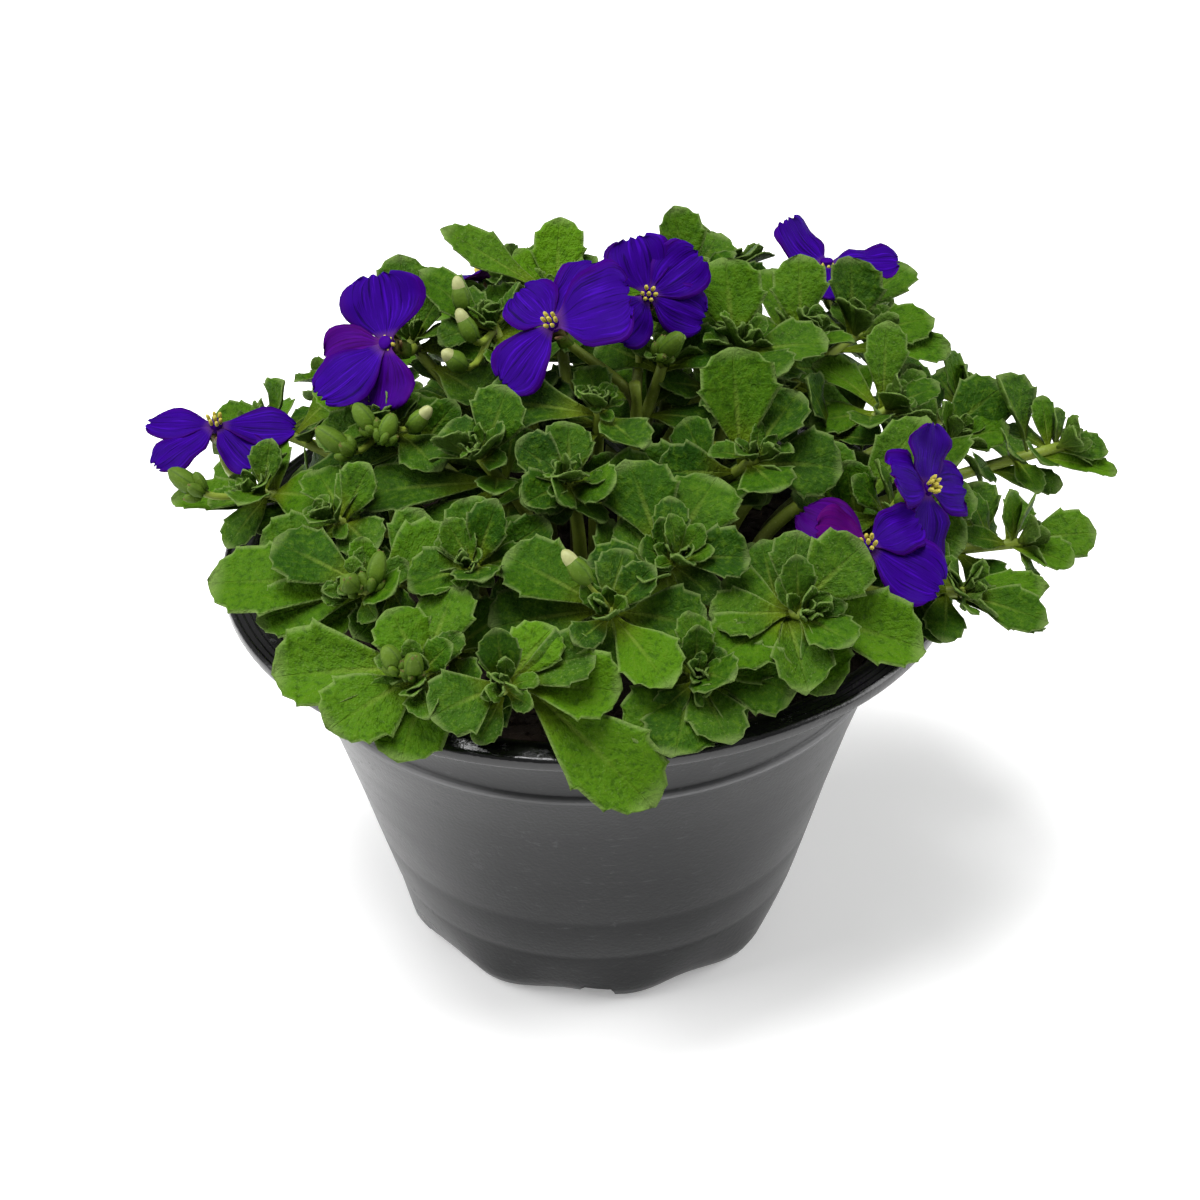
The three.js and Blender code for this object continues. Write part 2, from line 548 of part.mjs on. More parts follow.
// The green part of a bud, and the pale petals that show at its tip
function budParts(bud) {
  const axis = direction(...bud.points);
  const half = BUD_WIDTH / 2;
  const green = bud.pale ? 1 - PALE_TIP : 1;
  const foot = vector(bud.centre).addScaledVector(axis, -bud.length / 2);
  const profile = bud.pale
    ? [[0, 0], [half, 0.35 * bud.length], [0.8 * half, green * bud.length], [0, green * bud.length]]
    : [[0, 0], [half, 0.35 * bud.length], [0.7 * half, 0.8 * bud.length], [0, bud.length]];
  const body = turned(profile, 5, axis, foot);
  if (!bud.pale) return { body, foot, axis };
  const start = green * bud.length + STEM_GAP;
  const tip = turned(
    [[0, start], [0.7 * half, start], [0, 1.04 * bud.length]], 5, axis, foot,
  );
  return { body, tip, foot, axis };
}

const plant = new THREE.Group();

function addPiece(name, solid, colour, roughness) {
  const mesh = solid.getMesh();
  const places = new Float32Array(mesh.numVert * 3);
  for (let i = 0; i < mesh.numVert; i++) {
    places.set(mesh.vertProperties.subarray(i * mesh.numProp, i * mesh.numProp + 3), i * 3);
  }
  const geometry = new THREE.BufferGeometry()
    .setAttribute("position", new THREE.BufferAttribute(places, 3))
    .setIndex(new THREE.BufferAttribute(mesh.triVerts, 1));
  geometry.computeVertexNormals();
  const material = new THREE.MeshStandardMaterial({ color: colour, roughness, metalness: 0 });
  const piece = new THREE.Mesh(geometry, material);
  piece.name = name;
  plant.add(piece);
}

function label(name, number) {
  return name + "_" + String(number + 1).padStart(2, "0");
}

const pot = potSolid();
let soil = soilSolid();
const near = new Neighbours();

// Sets a solid in its fixed place, which has to be free
function settle(owner, solid) {
  const other = near.meets(owner, solid);
  if (other) throw new Error(owner + " meets " + other.owner);
  near.add(owner, solid);
}

const shoots = SHOOTS.map((shoot, number) => {
  const heart = vector(shoot.heart);
  const stem = stemPath(heart);
  const profile = [[0, -HEART_TAIL], [HEART_RADIUS, -HEART_SINK], [0, HEART_TOP]];
  const core = turned(profile, HEART_SIDES, stem.getTangentAt(1), heart);
  const stick = tube(stem, STEM_RADIUS, STEM_SIDES, STEM_STEPS);
  const socketPath = stemPath(heart, STEM_DEPTH + STEM_GAP);
  soil = soil.subtract(tube(socketPath, STEM_RADIUS + SOCKET_GAP, STEM_SIDES, STEM_STEPS));
  const leaves = leavesOf(shoot, number);
  return { axis: shootAxis(heart), stem, solids: [stick, core], leaves, seen: shoot.leaves.length };
});

settle("pot", pot);
settle("soil", soil);
shoots.forEach((shoot, number) => shoot.solids.forEach((solid) => settle(number, solid)));

BLOOMS.forEach((bloom, i) => {
  const shoot = shoots[bloom.shoot];
  const petals = petalsSolid(bloom);
  const anthers = anthersSolid(bloom);
  const calyx = calyxSolid(bloom);
  const pedicel = stalk(shoot.stem, calyxBase(bloom), direction(...bloom.faces), BLOOM_STALK_FROM);
  settle(label("petals", i), petals);
  settle(label("anthers", i), anthers);
  settle(bloom.shoot, calyx);
  settle(bloom.shoot, pedicel);
  shoot.solids.push(pedicel, calyx);
  addPiece(label("petals", i), petals, COLOURS.petal, 0.55);
  addPiece(label("anthers", i), anthers, COLOURS.anther, 0.8);
});

BUDS.forEach((bud, i) => {
  const shoot = shoots[bud.shoot];
  const { body, tip, foot, axis } = budParts(bud);
  const pedicel = stalk(shoot.stem, foot, axis, BUD_STALK_FROM);
  settle(bud.shoot, body);
  settle(bud.shoot, pedicel);
  shoot.solids.push(pedicel, body);
  if (!tip) return;
  settle(label("bud_tip", i), tip);
  addPiece(label("bud_tip", i), tip, COLOURS.pale, 0.7);
});

// Each leaf takes the first bend that clears its neighbours, and one without any is left out. The
// leaves seen in front go before the others, and each round goes over all the shoots.
function placeLeaf(shoot, number, k) {
  for (const bend of BENDS) {
    const pose = leafPose(shoot, number, k, bend);
    const outline = outlineFor(pose.length);
    if (near.meets(number, blade(outline, LEAF_NECK, pose, CLEARANCE))) continue;
    const solid = blade(outline, LEAF_NECK, pose);
    near.add(number, solid);
    shoot.solids.push(solid);
    return;
  }
}

const rounds = Math.max(...shoots.map((shoot) => shoot.leaves.length));
for (const front of [true, false]) {
  for (let k = 0; k < rounds; k++) {
    shoots.forEach((shoot, number) => {
      if (k < shoot.leaves.length && k < shoot.seen === front) placeLeaf(shoot, number, k);
    });
  }
}

addPiece("pot", pot, COLOURS.pot, 0.4);
addPiece("soil", soil, COLOURS.soil, 0.95);
shoots.forEach((shoot, number) => {
  addPiece(label("leafy_shoot", number), joined(shoot.solids).simplify(FINEST), COLOURS.leaf, 0.75);
});

export default plant;
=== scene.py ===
import math
import random
from dataclasses import dataclass, replace

import bmesh
import bpy
from mathutils import Matrix, Vector, noise
from mathutils.kdtree import KDTree


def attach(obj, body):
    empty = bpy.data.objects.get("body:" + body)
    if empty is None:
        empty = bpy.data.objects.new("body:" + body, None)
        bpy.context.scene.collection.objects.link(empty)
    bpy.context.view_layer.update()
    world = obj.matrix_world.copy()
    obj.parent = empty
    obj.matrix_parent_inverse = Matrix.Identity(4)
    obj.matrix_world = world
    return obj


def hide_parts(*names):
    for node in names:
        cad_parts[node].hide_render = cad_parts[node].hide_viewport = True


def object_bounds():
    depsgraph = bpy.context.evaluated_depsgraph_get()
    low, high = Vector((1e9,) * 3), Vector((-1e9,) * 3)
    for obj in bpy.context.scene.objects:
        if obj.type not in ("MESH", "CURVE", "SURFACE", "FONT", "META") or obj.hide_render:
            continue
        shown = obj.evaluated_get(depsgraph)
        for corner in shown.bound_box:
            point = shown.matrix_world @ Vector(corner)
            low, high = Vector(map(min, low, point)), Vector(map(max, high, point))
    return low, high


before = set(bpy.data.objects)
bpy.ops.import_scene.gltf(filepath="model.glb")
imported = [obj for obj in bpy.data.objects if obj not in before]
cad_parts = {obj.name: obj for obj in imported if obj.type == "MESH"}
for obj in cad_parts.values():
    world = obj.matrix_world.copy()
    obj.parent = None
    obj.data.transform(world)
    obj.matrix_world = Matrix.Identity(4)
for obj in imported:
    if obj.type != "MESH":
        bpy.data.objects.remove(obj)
solid_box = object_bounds()

MM = 0.001
SEED = 20451
FULL_TURN = 2 * math.pi
GOLDEN_ANGLE = 137.5
UP = Vector((0, 0, 1))

# The pot. Its profile runs from the middle of the bottom, up the outside, over the brim and down the
# inside, as radius and height.
POT_HEIGHT = 69
RIM_RADIUS = 60
POT_PROFILE = [
    (0, 0), (14, 0), (27.4, 0), (29.3, 0.3), (31, 1.2), (32.2, 2.8), (32.9, 4.6), (34.5, 10),
    (34.72, 11), (34.84, 11.6), (35.16, 12.1), (36.6, 17), (37.42, 19.8), (37.5, 20.5), (37.84, 21.2),
    (40.2, 29.5), (43.9, 41.5), (47.2, 51), (47.75, 51.7), (48, 52.2), (47.98, 52.6), (47.7, 53),
    (47.4, 53.15), (47.3, 53.5), (50.2, 59.4), (53.1, 65.9), (53.6, 66.6), (54.4, 66.8),
    (57.2, 66.8), (59.4, 66.8), (59.85, 66.95), (RIM_RADIUS, 67.3), (RIM_RADIUS, 68.3),
    (59.85, 68.75), (59.4, POT_HEIGHT), (58.9, 68.7), (58.3, POT_HEIGHT), (57.8, 68.7),
    (57.2, POT_HEIGHT), (56.7, 68.7), (56.1, POT_HEIGHT), (55.6, 68.95), (54.9, 68.8), (54.3, 68.3),
    (51.8, 65.2), (49.3, 59.2), (46.5, 52.7), (41.5, 36), (36.5, 19.6), (31.5, 4.8), (30.6, 3),
    (28.5, 1.7), (14, 1.5), (0, 1.5),
]
POT_SIDES = 128
SHARP_FROM = math.radians(50)

# The glossier parts of the pot: the brim from this height up, and the inside, which lies above its
# floor and within a cone through this radius and height
BRIM_FROM = 66.5
INSIDE_ABOVE = 1.4
INSIDE_FOOT = (31.6, 4.6)
INSIDE_FLARE = 0.3

# The height of the painted highlight line along the pot's step, and the drain holes in its foot
LEDGE_HEIGHT = 52.6
DRAIN_HOLES = 6
DRAIN_RADIUS = 3
DRAIN_CIRCLE = 30.5

# The shallow lobes round the pot's foot, full up to one height and gone at another
FOOT_LOBES = 9
LOBE_TURN = math.radians(81)
LOBE_DEPTH = 0.03
LOBES_FULL = 1
LOBES_END = 10

# The soil: its crown inside the pot's step, its side as radius and height, where its lumps and grit
# begin, and its crumbs
STEP_RADIUS = 47.8
SOIL_EDGE_HEIGHT = 59.5
SOIL_CROWN = 3
SOIL_SIDE = [(0, 2.3), (27, 2.3), (30.2, 5.2), (45.2, 52.6), (47.4, 58.9)]
SOIL_TOP_RADIUS = 44
SOIL_SIDES = 120
LUMPY_FROM = SOIL_EDGE_HEIGHT - 1.2
LUMP_SCALE = 0.22
LUMP_HEIGHT = 1.1
GRIT_SCALE = 1.1
GRIT_HEIGHT = 0.6
CRUMBS = 900
CRUMB_REACH = 46

# The stems: how deep they go into the soil, how near the middle they root, how far they lean at the
# rim, and at which share of their length the stalks of flowers and buds leave them
STEM_DEPTH = 4
ROOT_SPREAD = 0.42
LEAN_AT_RIM = 48
BLOOM_STALK_FROM = 0.93
BUD_STALK_FROM = 0.95

# The leaves: the heading and pitch of the light that they face, the share that their shoot's own
# direction has in that, how far a blade may twist, and how far below the heart a leaf grows where
# the lists don't say it
LIGHT = (-90, 58)
OWN_FACE = 0.6
LEAF_TWIST = 0.24
PETAL_TWIST = 0.06
BELOW_HEART = 2.5

# The solids' blades: their thickness, and their corners by the leaf's length, as how far along and
# how far out of the half width. A leaf took a bend if most of its corners are found this near.
BLADE_THICKNESS = 0.64
LARGE_FROM = 17
SMALL_BELOW = 11.5
LARGE_CORNERS = [(0.42, 0.52), (0.64, 1), (0.7, 0.8), (0.84, 0.76), (0.88, 0.48)]
MIDDLE_CORNERS = [(0.6, 1), (0.7, 0.8), (0.87, 0.64)]
SMALL_CORNERS = [(0.52, 0.9), (0.8, 0.84)]
MATCH_WITHIN = 0.03
MATCH_SHARE = 0.5

# The share of a blade's thickness that its rim lacks, and the lengths in a heart above which a leaf
# is a toothed one and above which others keep clear of it
LEAF_RIM = 0.5
TOOTHED_ABOVE = 4
KEPT_CLEAR_ABOVE = 4.5

# Each shoot: where its heart is, how many leaves the rule adds, and the leaves seen from the front
# as heading (0 is +X, 90 is +Y), pitch, length, width and droop. An optional sixth value is how far
# below the heart the leaf leaves the stem.
SHOOTS = [
    ((-35, -35, 84), 2, [(180, 8, 28, 15, 20, 6), (163, 24, 17, 12, 15), (192, -4, 20, 11, 15, 5),
                         (205, -12, 20, 10, 20, 8), (20, 28, 15, 13, 20)]),
    ((-40, -19, 87), 3, [(187, -6, 17, 10, 10, 6), (-65, 10, 10, 9, 25), (60, 50, 9, 8, 10)]),
    ((-53, -5, 84), 3, [(176, 2, 21, 9, 10, 7), (12, 14, 17, 11, 20), (-35, 20, 10, 9, 20)]),
    ((-26, -52, 79), 1, [(183, 2, 24, 15, 15, 5), (218, -4, 18, 14, 20, 4), (252, -14, 17, 14, 25, 6),
                         (130, 45, 11, 10, 10), (60, 48, 14, 11, 10)]),
    ((-13, -57, 80), 1, [(-31, -22, 29, 15, 34, 6), (-8, 2, 17, 12, 15), (215, 2, 13, 12, 20),
                         (35, 40, 11, 10, 10)]),
    ((-18, -37, 89), 3, [(100, 50, 11, 10, 10), (202, 2, 11, 10, 20), (-15, 25, 9, 7, 20)]),
    ((-17, -17, 97), 1, [(181, -8, 24, 13, 15, 9), (45, 40, 13, 12, 15), (216, -20, 18, 13, 20, 9),
                         (140, 25, 9, 8, 10)]),
    ((-3, -25, 97), 2, [(90, 50, 10, 9, 10), (222, 8, 9, 8, 15), (5, 22, 15, 10, 45, 5),
                        (-40, 15, 9, 8, 15)]),
    ((3, -46, 86), 1, [(163, 28, 18, 13, 20), (-60, -18, 17, 11, 15), (192, -6, 18, 13, 20, 5),
                       (70, 45, 10, 8, 10)]),
    ((13, -38, 90), 1, [(188, 4, 13, 10, 20), (-10, 14, 12, 10, 20), (118, 52, 17, 12, 15, 6),
                        (48, 42, 16, 13, 20, 5), (-88, -22, 15, 13, 15, 5)]),
    ((32, -43, 83), 1, [(170, 18, 12, 11, 20), (228, -8, 16, 14, 20, 4), (-48, 6, 12, 11, 15),
                        (-12, -8, 23, 14, 15, 6), (22, 22, 15, 12, 15), (-55, -16, 17, 12, 20, 8)]),
    ((16, -52, 78), 1, [(-102, -14, 15, 13, 15), (232, -18, 15, 12, 15), (-30, 8, 12, 10, 20)]),
    ((58, -28, 77), 1, [(-22, -4, 16, 10, 12), (-12, -12, 18, 12, 12, 5), (2, 2, 19, 10, 15, 6),
                        (100, 40, 11, 6, 10), (200, 30, 9, 7, 15)]),
    ((69, -12, 76), 1, [(8, 6, 15, 12, 15), (-24, -2, 11, 9, 15), (70, 22, 11, 8, 15),
                        (-150, 30, 10, 6, 15)]),
    ((78, 10, 81), 0, [(2, 2, 10, 7, 15), (100, 60, 9, 6, 10), (-8, -6, 15, 6, 12, 6),
                       (-4, -10, 14, 8, 10, 14), (150, 30, 9, 7, 15)]),
    ((60, 9, 83), 1, [(30, 30, 17, 14, 20, 4), (8, 14, 12, 10, 20), (120, 35, 12, 9, 15)]),
    ((49, -18, 85), 1, [(40, 42, 22, 11, 25, 9), (12, 12, 15, 12, 20), (200, 10, 13, 11, 20)]),
    ((26, -18, 96), 0, [(98, 72, 19, 14, 12, 4), (32, 48, 14, 10, 15), (-15, 24, 17, 12, 50, 5),
                        (182, 8, 16, 10, 30, 6), (-70, 20, 12, 10, 25)]),
    ((50, 8, 90), 1, [(78, 64, 15, 11, 12), (190, 4, 12, 10, 20), (20, 20, 11, 8, 15),
                      (150, 40, 14, 10, 30)]),
    ((46, 30, 92), 1, [(78, 50, 14, 11, 15), (10, 16, 15, 10, 15), (3, 4, 20, 7, 12, 6),
                       (180, 30, 11, 9, 15)]),
    ((37, 20, 97), 1, [(88, 64, 15, 10, 10), (98, 34, 18, 10, 15, 5), (-40, 30, 11, 7, 20),
                       (190, 20, 11, 9, 20)]),
    ((25, 8, 102), 1, [(96, 64, 16, 13, 15), (150, 32, 9, 8, 10), (8, 12, 16, 10, 25),
                       (165, 40, 14, 11, 25, 8), (-50, 20, 12, 10, 25)]),
    ((12.5, 3.5, 102), 1, [(5, 30, 12, 10, 20), (-120, 10, 12, 9, 20), (150, 20, 12, 10, 20)]),
    ((18, 26, 104), 2, [(60, 38, 13, 10, 15), (112, 68, 15, 9, 10), (190, 15, 12, 9, 20)]),
    ((-5, 25, 103), 2, [(84, 66, 15, 10, 12), (186, 16, 13, 9, 20), (140, 46, 12, 6, 10)]),
    ((-15, 13, 104), 1, [(158, 46, 19, 9, 20, 5), (20, 20, 10, 8, 20), (-60, 15, 11, 9, 20)]),
    ((-29, 16, 100), 1, [(-20, 16, 14, 12, 20), (110, 60, 16, 10, 15), (-48, 2, 16, 11, 20, 6),
                         (200, 10, 12, 9, 20)]),
    ((-32, -3, 95), 1, [(180, 4, 13, 10, 20), (148, 18, 19, 7, 10, 5), (-60, 6, 13, 9, 25),
                        (60, 12, 10, 8, 10)]),
    ((2, -11, 102), 1, [(176, 14, 18, 14, 25), (100, 30, 10, 7, 15), (-60, 10, 12, 9, 25),
                        (10, 20, 10, 8, 15)]),
    ((-12, 45, 96), 5, []),
    ((24, 46, 97), 5, []),
    ((47, 50, 86), 5, [(30, 32, 15, 11, 20)]),
    ((-54, 20, 82), 5, []),
    ((-42, 42, 78), 5, []),
    ((-20, 62, 80), 5, []),
    ((8, 64, 82), 5, []),
    ((66, 32, 77), 5, []),
]

# Leaves that are the freshest green in the photograph, by shoot and leaf: how fresh they are
LIT = {(4, 0): 0.85, (0, 0): 0.6, (3, 0): 0.8, (3, 1): 0.8, (3, 2): 0.7, (4, 1): 0.9, (17, 0): 0.5,
       (8, 1): 0.8, (10, 3): 0.8, (10, 1): 0.6, (2, 0): 0.7, (13, 0): 0.7, (12, 1): 0.7}

# Shoots low in the middle, whose leaves get painted shade: a darker, deeper green for the dim light
# among the foliage there
SHADED_MIDDLE_SHOOTS = (5, 6, 7, 8, 9, 11, 17, 28)
# The share of tone, freshness and hairiness that those leaves keep under the painted shade
PAINTED_SHADE_SHARE = 0.5

# Shoots at the right, whose leaves are narrower there
NARROW = (12, 13, 14, 15, 16, 18)
NARROW_SHARE = 0.8

# In front of the forked stalk: the leaves that are left out, the share that a shoot's heart keeps,
# and where filler leaves would hide it, as seen down the camera's line
HIDING_THE_FORK = ((28, 3), (22, 1))
HEART_SHARE = {28: 0.6}
SIGHT_SLOPE = 0.64
FORK_WIDTH = (2, 11)
FORK_HEIGHT = (90, 106)
FORK_FRONT = 1

# Further leaves that hang over the pot's edge or stand up at the back, by shoot, as in the list above
OVERHANGING = {
    24: [(176, 32, 22, 8.5, -4, 0.5)],
    29: [(0, 8, 15, 11, 8, 17)],
    11: [(-18, 4, 16, 12, 22, 4), (14, 10, 14, 11, 20), (-70, -6, 15, 11, 20, 4)],
    10: [(-78, -8, 16, 12, 22, 5), (196, 12, 13, 11, 20)],
    4: [(2, 24, 14, 11, 20)],
    16: [(-20, 2, 16, 11, 20, 6), (-60, -4, 15, 11, 20, 6)],
    8: [(-20, 4, 15, 12, 20, 4)],
}

# The filler leaves of a shoot, as how many are wanted and how far below the heart they may grow: for
# hearts behind this y, where the photograph gave leaves, and where it gave none. They keep a gap from
# other leaves and from the soil, pass the solids' box by no more than a margin, and stay within a
# radius near the rim.
BACK_FROM = 14
BACK_FILLERS = (18, 34)
FEW_FILLERS = (6, 13)
MANY_FILLERS = (14, 22)
FILLER_TRIES = 6
FILLER_GAP = 1.25
SOIL_KEPT_CLEAR = 1.5
BOX_MARGIN = 0.5
RIM_KEPT_CLEAR = 44

# Each bloom: its shoot, its centre, where it faces (heading, pitch), and for each petal its angle
# round the centre, its lift out of the flower's plane, length, width and droop.
BLOOMS = [
    (2, (-60, 6, 90), (-95, 72), [(170, 0, 11.5, 8, 10), (218, 0, 12, 9, 10), (-48, -5, 10, 9, 15),
                                  (-2, 0, 12.5, 9, 10)]),
    (26, (-31.5, 3, 106), (-125, 38), [(92, 6, 11, 14, -10), (192, 10, 11, 10, 10),
                                       (222, 15, 13.5, 9, -10), (258, 5, 10.5, 12, 15)]),
    (28, (-5, -4, 112.5), (-125, 52), [(8, 6, 13, 14, 10), (128, 5, 9, 9, 10), (219, -6, 12, 10, 10),
                                       (55, -6, 12.5, 10, 10)]),
    (22, (10, 6, 112), (-86, 39), [(104, 4, 9.5, 10, 0), (38, 2, 10.5, 9, 5), (-22, 0, 9.5, 8, 10),
                                   (228, 4, 8.5, 9, 10)]),
    (31, (41, 42, 99), (90, 86), [(142, 14, 10.5, 10, -45), (208, -8, 12.5, 8, 15), (0, 4, 12, 11, 8),
                                  (-70, -12, 9, 8, 20)]),
    (16, (52.3, -21, 91.6), (-30, 38), [(105, 12, 10, 9, -20), (185, 12, 9.5, 9, 10),
                                        (-75, -10, 11, 9, 25), (20, 5, 10, 9, 15)]),
    (16, (42.5, -31, 87.5), (-95, 60), [(-30, -6, 12.5, 10, 12), (28, 4, 9, 8, 12),
                                        (172, 12, 8.5, 10, -20), (143, 0, 12, 8, 10)]),
    (34, (-18, 64, 86), (100, 58), [(10, 5, 11, 11, 10), (98, 0, 11, 11, 10), (188, 5, 11, 10, 10),
                                    (280, 8, 11, 11, 10)]),
]

# How far a petal is folded over to its back, by the number of its bloom and its own number in it
TURNED = {(7, 2): 1, (7, 3): 0.6, (2, 1): 0.55, (2, 3): 0.3}

# A bloom whose petals are half furled, as a share of their width, and those whose petals hide the
# anthers, as the depth that these sit at
FURLED = {1: 0.76}
SUNK = {2: 1.7, 5: 1.7}

# The waves across a petal's pleats and the depth of the notches that they leave in its edge, and the
# share by which it is wider than the solid's
PLEATS = 8
NOTCH_DEPTH = 0.03
PETAL_FULLNESS = 1.06

# Stems that carry no leaves, as the shoot that holds each and its four control points. The first is
# the stalk that forks between the two middle blooms, at a share of its length.
FORKED = (3, 4)
FORK_SHARE = 0.86
BARE_STEMS = [
    (22, (4, 2, 60), (6.5, 2.5, 74), (8.6, 2.2, 86), (7.6, 0.2, 99.5)),
    (17, (6, 3, 60), (6, 4, 84), (12, 3, 87), (25, -9, 92.5)),
    (21, (7, 3.5, 60), (8, 3.5, 84), (13, 3.5, 88), (24, 8, 100)),
]

# The parts of a flower
CALYX_LENGTH = 5.2
CALYX_RADIUS = 1.45
SEPALS = 4
THROAT_HEIGHT = 1.6
STEM_GAP = 0.3
ANTHERS = 6

# Each bud: its shoot, where its middle is, its heading and pitch, its length, and whether it shows
# a pale tip.
BUDS = [
    (25, (-20, 12, 110), (120, 70), 6, True),
    (25, (-19, 6, 107.5), (150, 60), 6, True),
    (25, (-21, 1, 104), (190, 45), 5, True),
    (27, (-26, -8, 98.5), (-10, 50), 5.5, True),
    (27, (-40, -9, 95.5), (165, 35), 6.5, False),
    (8, (-2, -44, 93), (150, 45), 6.5, True),
    (0, (-32, -37, 89), (60, 60), 5.5, False),
    (0, (-36, -39.5, 88), (-100, 50), 4.5, False),
    (3, (-26, -55, 83.5), (-90, 70), 4.5, False),
    (3, (-29.5, -53, 83.5), (150, 60), 4, False),
    (2, (-64, -8, 88), (165, 35), 6, False),
    (22, (13.5, -1, 107), (-20, 50), 5.5, False),
]

# Closed buds of the cluster at the upper left that have no solid of their own, in the same form
FURTHER_BUDS = [(27, (-35, -8, 99), (150, 50), 5, False), (27, (-31, -9.5, 98), (40, 60), 4.4, False)]

# A bud's width, the young buds round a closed one, and the share of a pale one that is its tip
BUD_WIDTH = 3.2
YOUNG_BUDS = 5
PALE_TIP = 0.3

# Ways in which a leaf was bent clear of its neighbours: turn, lift and share of its length
BENDS = [
    (0, 0, 1), (0, 9, 1), (11, 4, 1), (-11, 4, 1), (0, -9, 1), (0, 18, 1), (20, 10, 0.95),
    (-20, 10, 0.95), (0, 27, 0.95), (0, 12, 0.82), (22, 0, 0.82), (-22, 0, 0.82), (30, 22, 0.82),
    (-30, 22, 0.82), (0, 36, 0.8), (0, -18, 0.8), (0, 20, 0.66), (25, 30, 0.66), (-25, 30, 0.66),
]

# Half outlines of the fine blades: how far along, and how far out of the half width
LARGE_EDGE = [
    (0, 0.08), (0.08, 0.1), (0.16, 0.15), (0.25, 0.26), (0.34, 0.42), (0.43, 0.59), (0.52, 0.76),
    (0.59, 0.87), (0.64, 0.97), (0.67, 1.05), (0.675, 0.98), (0.69, 0.91), (0.74, 0.9), (0.79, 0.89),
    (0.825, 0.87), (0.85, 0.88), (0.855, 0.78), (0.87, 0.69), (0.9, 0.63), (0.94, 0.54),
    (0.95, 0.42), (0.975, 0.28), (1, 0.07),
]
MIDDLE_EDGE = [
    (0, 0.1), (0.1, 0.13), (0.2, 0.22), (0.3, 0.38), (0.4, 0.59), (0.5, 0.79), (0.57, 0.91),
    (0.61, 0.98), (0.65, 1.05), (0.656, 0.97), (0.675, 0.9), (0.74, 0.9), (0.8, 0.89),
    (0.845, 0.88), (0.85, 0.79), (0.87, 0.69), (0.91, 0.61), (0.94, 0.53), (0.965, 0.36), (0.99, 0.18),
    (1, 0.07),
]
SMALL_EDGE = [
    (0, 0.16), (0.12, 0.24), (0.25, 0.45), (0.38, 0.71), (0.5, 0.9), (0.6, 0.98), (0.67, 1.06),
    (0.685, 0.93), (0.78, 0.89), (0.84, 0.87), (0.86, 0.7), (0.92, 0.58), (0.965, 0.38), (0.99, 0.22),
    (1, 0.1),
]
YOUNG_EDGE = [
    (0, 0.35), (0.2, 0.58), (0.4, 0.85), (0.58, 1), (0.76, 0.96), (0.89, 0.76), (0.97, 0.45), (1, 0.18),
]
PETAL_EDGE = [
    (0, 0.16), (0.09, 0.19), (0.17, 0.34), (0.26, 0.58), (0.35, 0.79), (0.46, 0.93), (0.58, 1),
    (0.7, 1.02), (0.81, 1), (0.89, 0.93), (0.95, 0.8), (0.985, 0.64), (1, 0.5),
]
SEPAL_EDGE = [(0, 0.5), (0.3, 1), (0.62, 0.8), (0.86, 0.45), (1, 0.1)]

# Half sections of the round forms, of radius and height 1
BUD_PROFILE = [
    (0, 0), (0.45, 0.02), (0.82, 0.16), (1, 0.38), (0.94, 0.62), (0.7, 0.84), (0.34, 0.96), (0, 1),
]
CALYX_PROFILE = [
    (0, 0), (0.62, 0.02), (1, 0.14), (1, 0.3), (0.86, 0.6), (0.9, 0.86), (0.82, 1), (0, 1),
]
ANTHER_PROFILE = [(0, 0), (0.6, 0.14), (1, 0.45), (0.75, 0.82), (0, 1)]

# The marks that each point of a shape carries for its finish, three in each attribute
MARKS = {"blade": ("across", "along", "tone"), "state": ("under", "fresh", "hairy")}

# Where the camera looks and stands, in millimetres and degrees
LOOK_AT = Vector((1.5, 0, 59))
CAMERA_DISTANCE = 529
CAMERA_ELEVATION = 32.5
CAMERA_ROLL = -1.06
CAMERA_LENS = 96
CAMERA_SENSOR = 36

# The lamps, in metres and watts: name, place, power and size, all facing one point
SOFTBOXES = [
    ("left_softbox", (-0.8, -0.15, 0.6), 8.2, (0.8, 0.8)),
    ("right_softbox", (0.95, 0.1, 0.45), 7.2, (0.6, 0.8)),
    ("top_softbox", (-0.15, -0.1, 1.1), 18, (0.6, 0.6)),
]
LIT_POINT = (0, 0, 0.07)
WORLD_STRENGTH = 0.26

# The floor's own glow, and how far it lies below the pot, in metres
FLOOR_GLOW = 0.25
FLOOR_DROP = 0.0002


def draw(shoot, leaf, use):
    """Draw between 0 and 1, fixed for each shoot, leaf and use, as the solids make it."""
    mask = 0xFFFFFFFF
    t = (SEED + shoot * 7919 + leaf * 613 + use * 31 + 0x6D2B79F5) & mask
    t = ((t ^ (t >> 15)) * (t | 1)) & mask
    t ^= (t + (t ^ (t >> 7)) * (t | 61)) & mask
    return (t ^ (t >> 14)) / (mask + 1)


def direction(heading, pitch):
    """The direction with a heading round the z axis and a pitch up from level, in degrees."""
    flat = math.cos(math.radians(pitch))
    turn = math.radians(heading)
    return Vector((flat * math.cos(turn), flat * math.sin(turn), math.sin(math.radians(pitch))))


def across_from(axis):
    """Two directions square to an axis."""
    first = axis.orthogonal().normalized()
    return first, axis.cross(first)


# Where the shoots and leaves are

def soil_height(radius):
    """The smooth height of the soil at a distance from the middle."""
    return SOIL_EDGE_HEIGHT + SOIL_CROWN * (1 - (radius / STEP_RADIUS) ** 2)


